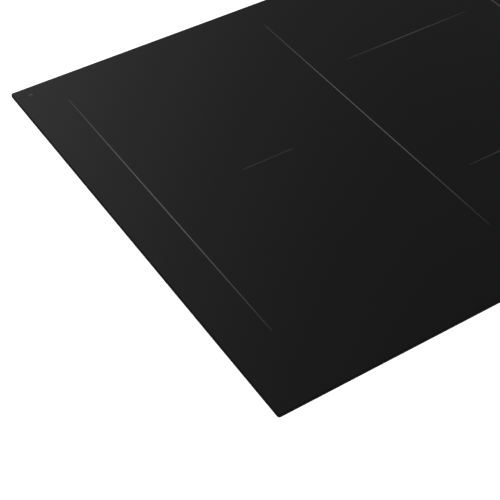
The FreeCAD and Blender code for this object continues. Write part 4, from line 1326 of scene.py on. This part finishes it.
@dataclass
class BoardComponents:
    """One board's components: capacitors in cases and cans, wound chokes and power transistors."""

    board: str
    node: str
    layout: Sequence[tuple[Component, float, float]]
    inward: int

    def build(self) -> None:
        """Stand each component on its place."""
        low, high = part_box(self.board)
        middle = (low + high) / 2
        shape = Shape(f"{self.node}_detailed")
        for kind, x, y in self.layout:
            foot = Vector((middle.x + self.inward * x * MM, middle.y + y * MM, high.z))
            kind.value.add(shape, foot)
        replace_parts(shape.piece("root", "component_body"), self.node)


@dataclass
class TouchKeys:
    """Contact springs that press on the plate from the touch board."""

    node: str = "touch_springs"
    keys: int = 12
    wire_mm: float = 0.5
    turns: float = 6.0

    def build(self) -> None:
        """Wind one spring for each key."""
        low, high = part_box(self.node)
        radius = (high.y - low.y) / 2
        pitch = (high.x - low.x - 2 * radius) / (self.keys - 1)
        wire = self.wire_mm * MM / 2
        ends = low.z + wire, high.z - wire
        shape = Shape("touch_spring_wires")
        for key in range(self.keys):
            centre = Vector((low.x + radius + key * pitch, (low.y + high.y) / 2, 0))
            path = helix(centre, radius - wire, *ends, self.turns)
            shape.sweep(path, (wire, wire), WIRE_SIDES, SPRING)
        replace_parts(shape.piece("root", "spring_steel"), self.node)


@dataclass
class CadDress:
    """Gives every CAD node that stays in view the finish of its slot."""

    special: Mapping[str, Finish]

    def build(self) -> None:
        """Set the finish on each node's material slots."""
        slots = {row["node"]: row["material_slot"] for row in frame["record"]["subparts"]}
        for name, node in frame["nodes"].items():
            finish = self.special.get(name, Slot[slots[name].upper()].value)
            for place in node.material_slots:
                place.material = finish.material()


@dataclass(frozen=True)
class Glow:
    """A broad soft glow in the studio's surroundings; it turns from the back towards the right."""

    turn_degrees: float
    rise_degrees: float
    sharpness: float
    strength: float
    limit: float

    def add(self, tree: bpy.types.NodeTree, view: bpy.types.NodeSocket) -> bpy.types.NodeSocket:
        """Add the nodes of this glow.

        Args:
            tree: The surroundings' node tree.
            view: Socket with the direction that is looked in.

        Returns:
            Socket with the glow's strength in that direction.
        """
        turn = math.radians(self.turn_degrees)
        rise = math.radians(self.rise_degrees)
        level = math.cos(rise)
        towards = (math.sin(turn) * level, math.cos(turn) * level, math.sin(rise))
        facing = add_node(tree, "VectorMath", {"operation": "DOT_PRODUCT"}, {0: view, 1: towards})
        glow = facing.outputs["Value"]
        steps = (
            ("MAXIMUM", 0.0),
            ("POWER", self.sharpness),
            ("MULTIPLY", self.strength),
            ("MINIMUM", self.limit),
        )
        for operation, value in steps:
            glow = add_node(tree, "Math", {"operation": operation}, {0: glow, 1: value}).outputs[0]
        return glow


@dataclass
class Studio:
    """Pale floor, gentle light with broad glows low round the hob, and the camera."""

    floor_radius: float = 30.0
    floor_thickness: float = 0.01
    eye_mm: tuple[float, float, float] = (-681.86, -805.48, 914.58)
    turn_degrees: float = 32.927
    tilt_degrees: float = 44.862
    lens_mm: float = 92.43
    sensor_mm: float = 36.0
    rear_left: Glow = Glow(-40.65, 14.44, 3.59, 3.5, 0.36)
    right: Glow = Glow(97.0, 4.0, 8.0, 1.3, 1.3)
    front: Glow = Glow(190.0, 4.0, 8.0, 1.3, 1.3)
    base_strength: float = 0.141
    backdrop_strength: float = 1.0
    softbox_place: tuple[float, float, float] = (-0.6, -1.6, 3.0)
    softbox_side: float = 2.6
    softbox_watts: float = 30.0

    def build(self) -> None:
        """Set up the floor, the surroundings, the soft lamp and the camera."""
        self.lay_floor()
        self.light_surroundings()
        self.hang_softbox()
        self.place_camera()

    def lay_floor(self) -> None:
        """Lay a wide round floor at the hob's underside."""
        shape = Shape("studio_floor")
        foot = Vector((0, 0, CAD_BOX[0].z - self.floor_thickness))
        half = (self.floor_radius, self.floor_radius)
        profile = [(0.0, 0.0), (0.0, self.floor_thickness)]
        shape.rise(foot, half, self.floor_radius, profile, BOARD)
        shape.piece("", "")

    def light_surroundings(self) -> None:
        """Make the surroundings glow, brighter low at the right, the front and the rear left."""
        world = bpy.data.worlds.new("studio_surroundings")
        bpy.context.scene.world = world
        world.use_nodes = True
        tree = world.node_tree
        view = add_node(tree, "TexCoord").outputs["Generated"]
        total: float | bpy.types.NodeSocket = self.base_strength
        for glow in (self.rear_left, self.right, self.front):
            added = {0: total, 1: glow.add(tree, view)}
            total = add_node(tree, "Math", {"operation": "ADD"}, added).outputs[0]
        background = tree.nodes["Background"]
        background.inputs["Color"].default_value = linear("#ffffff")
        strength = seen_or_lit(tree, self.backdrop_strength, total)
        tree.links.new(strength, background.inputs["Strength"])

    def hang_softbox(self) -> None:
        """Hang a square soft lamp that points at the hob."""
        lamp = bpy.data.lights.new("overhead_softbox", "AREA")
        lamp.size = self.softbox_side
        lamp.energy = self.softbox_watts
        holder = bpy.data.objects.new(lamp.name, lamp)
        holder.location = self.softbox_place
        holder.rotation_euler = (-holder.location).to_track_quat("-Z", "Y").to_euler()
        bpy.context.scene.collection.objects.link(holder)

    def place_camera(self) -> None:
        """Set the camera over the hob's front left side."""
        lens = bpy.data.cameras.new("camera")
        lens.sensor_width = self.sensor_mm
        lens.lens = self.lens_mm
        holder = bpy.data.objects.new("camera", lens)
        holder.location = Vector(self.eye_mm) * MM
        tilt = math.radians(90 - self.tilt_degrees)
        holder.rotation_euler = (tilt, 0, -math.radians(self.turn_degrees))
        bpy.context.scene.collection.objects.link(holder)
        bpy.context.scene.camera = holder
        bpy.context.scene.view_settings.view_transform = "Standard"


def main() -> None:
    """Build every sub-assembly in order."""
    logging.basicConfig(level=logging.INFO, format="%(name)s: %(message)s")
    clamps = [f"{end}_{side}_clamp" for end in ("front", "rear") for side in ("left", "right")]
    sinks = {f"{side}_heat_sink": HEAT_SINK for side in ("left", "right")}
    CadDress({**dict.fromkeys(clamps, CLAMP_SHEET), **sinks}).build()
    log.info("dressed the CAD nodes")
    for part in (PlateEdge(), PlatePrint(), TouchKeys()):
        part.build()
        log.info("built %s", type(part).__name__)
    for side, inward in (("left", 1), ("right", -1)):
        for end in ("front", "rear"):
            CoilAssembly(f"{side}_{end}").build()
            log.info("built the %s %s coil", side, end)
        BoardComponents(f"{side}_board", f"{side}_board_parts", POWER_LAYOUT, inward).build()
        log.info("built the %s board's components", side)
    BoardComponents("filter_board", "filter_parts", FILTER_LAYOUT, 1).build()
    log.info("built the filter's components")
    Studio().build()


if __name__ == "__main__":
    main()
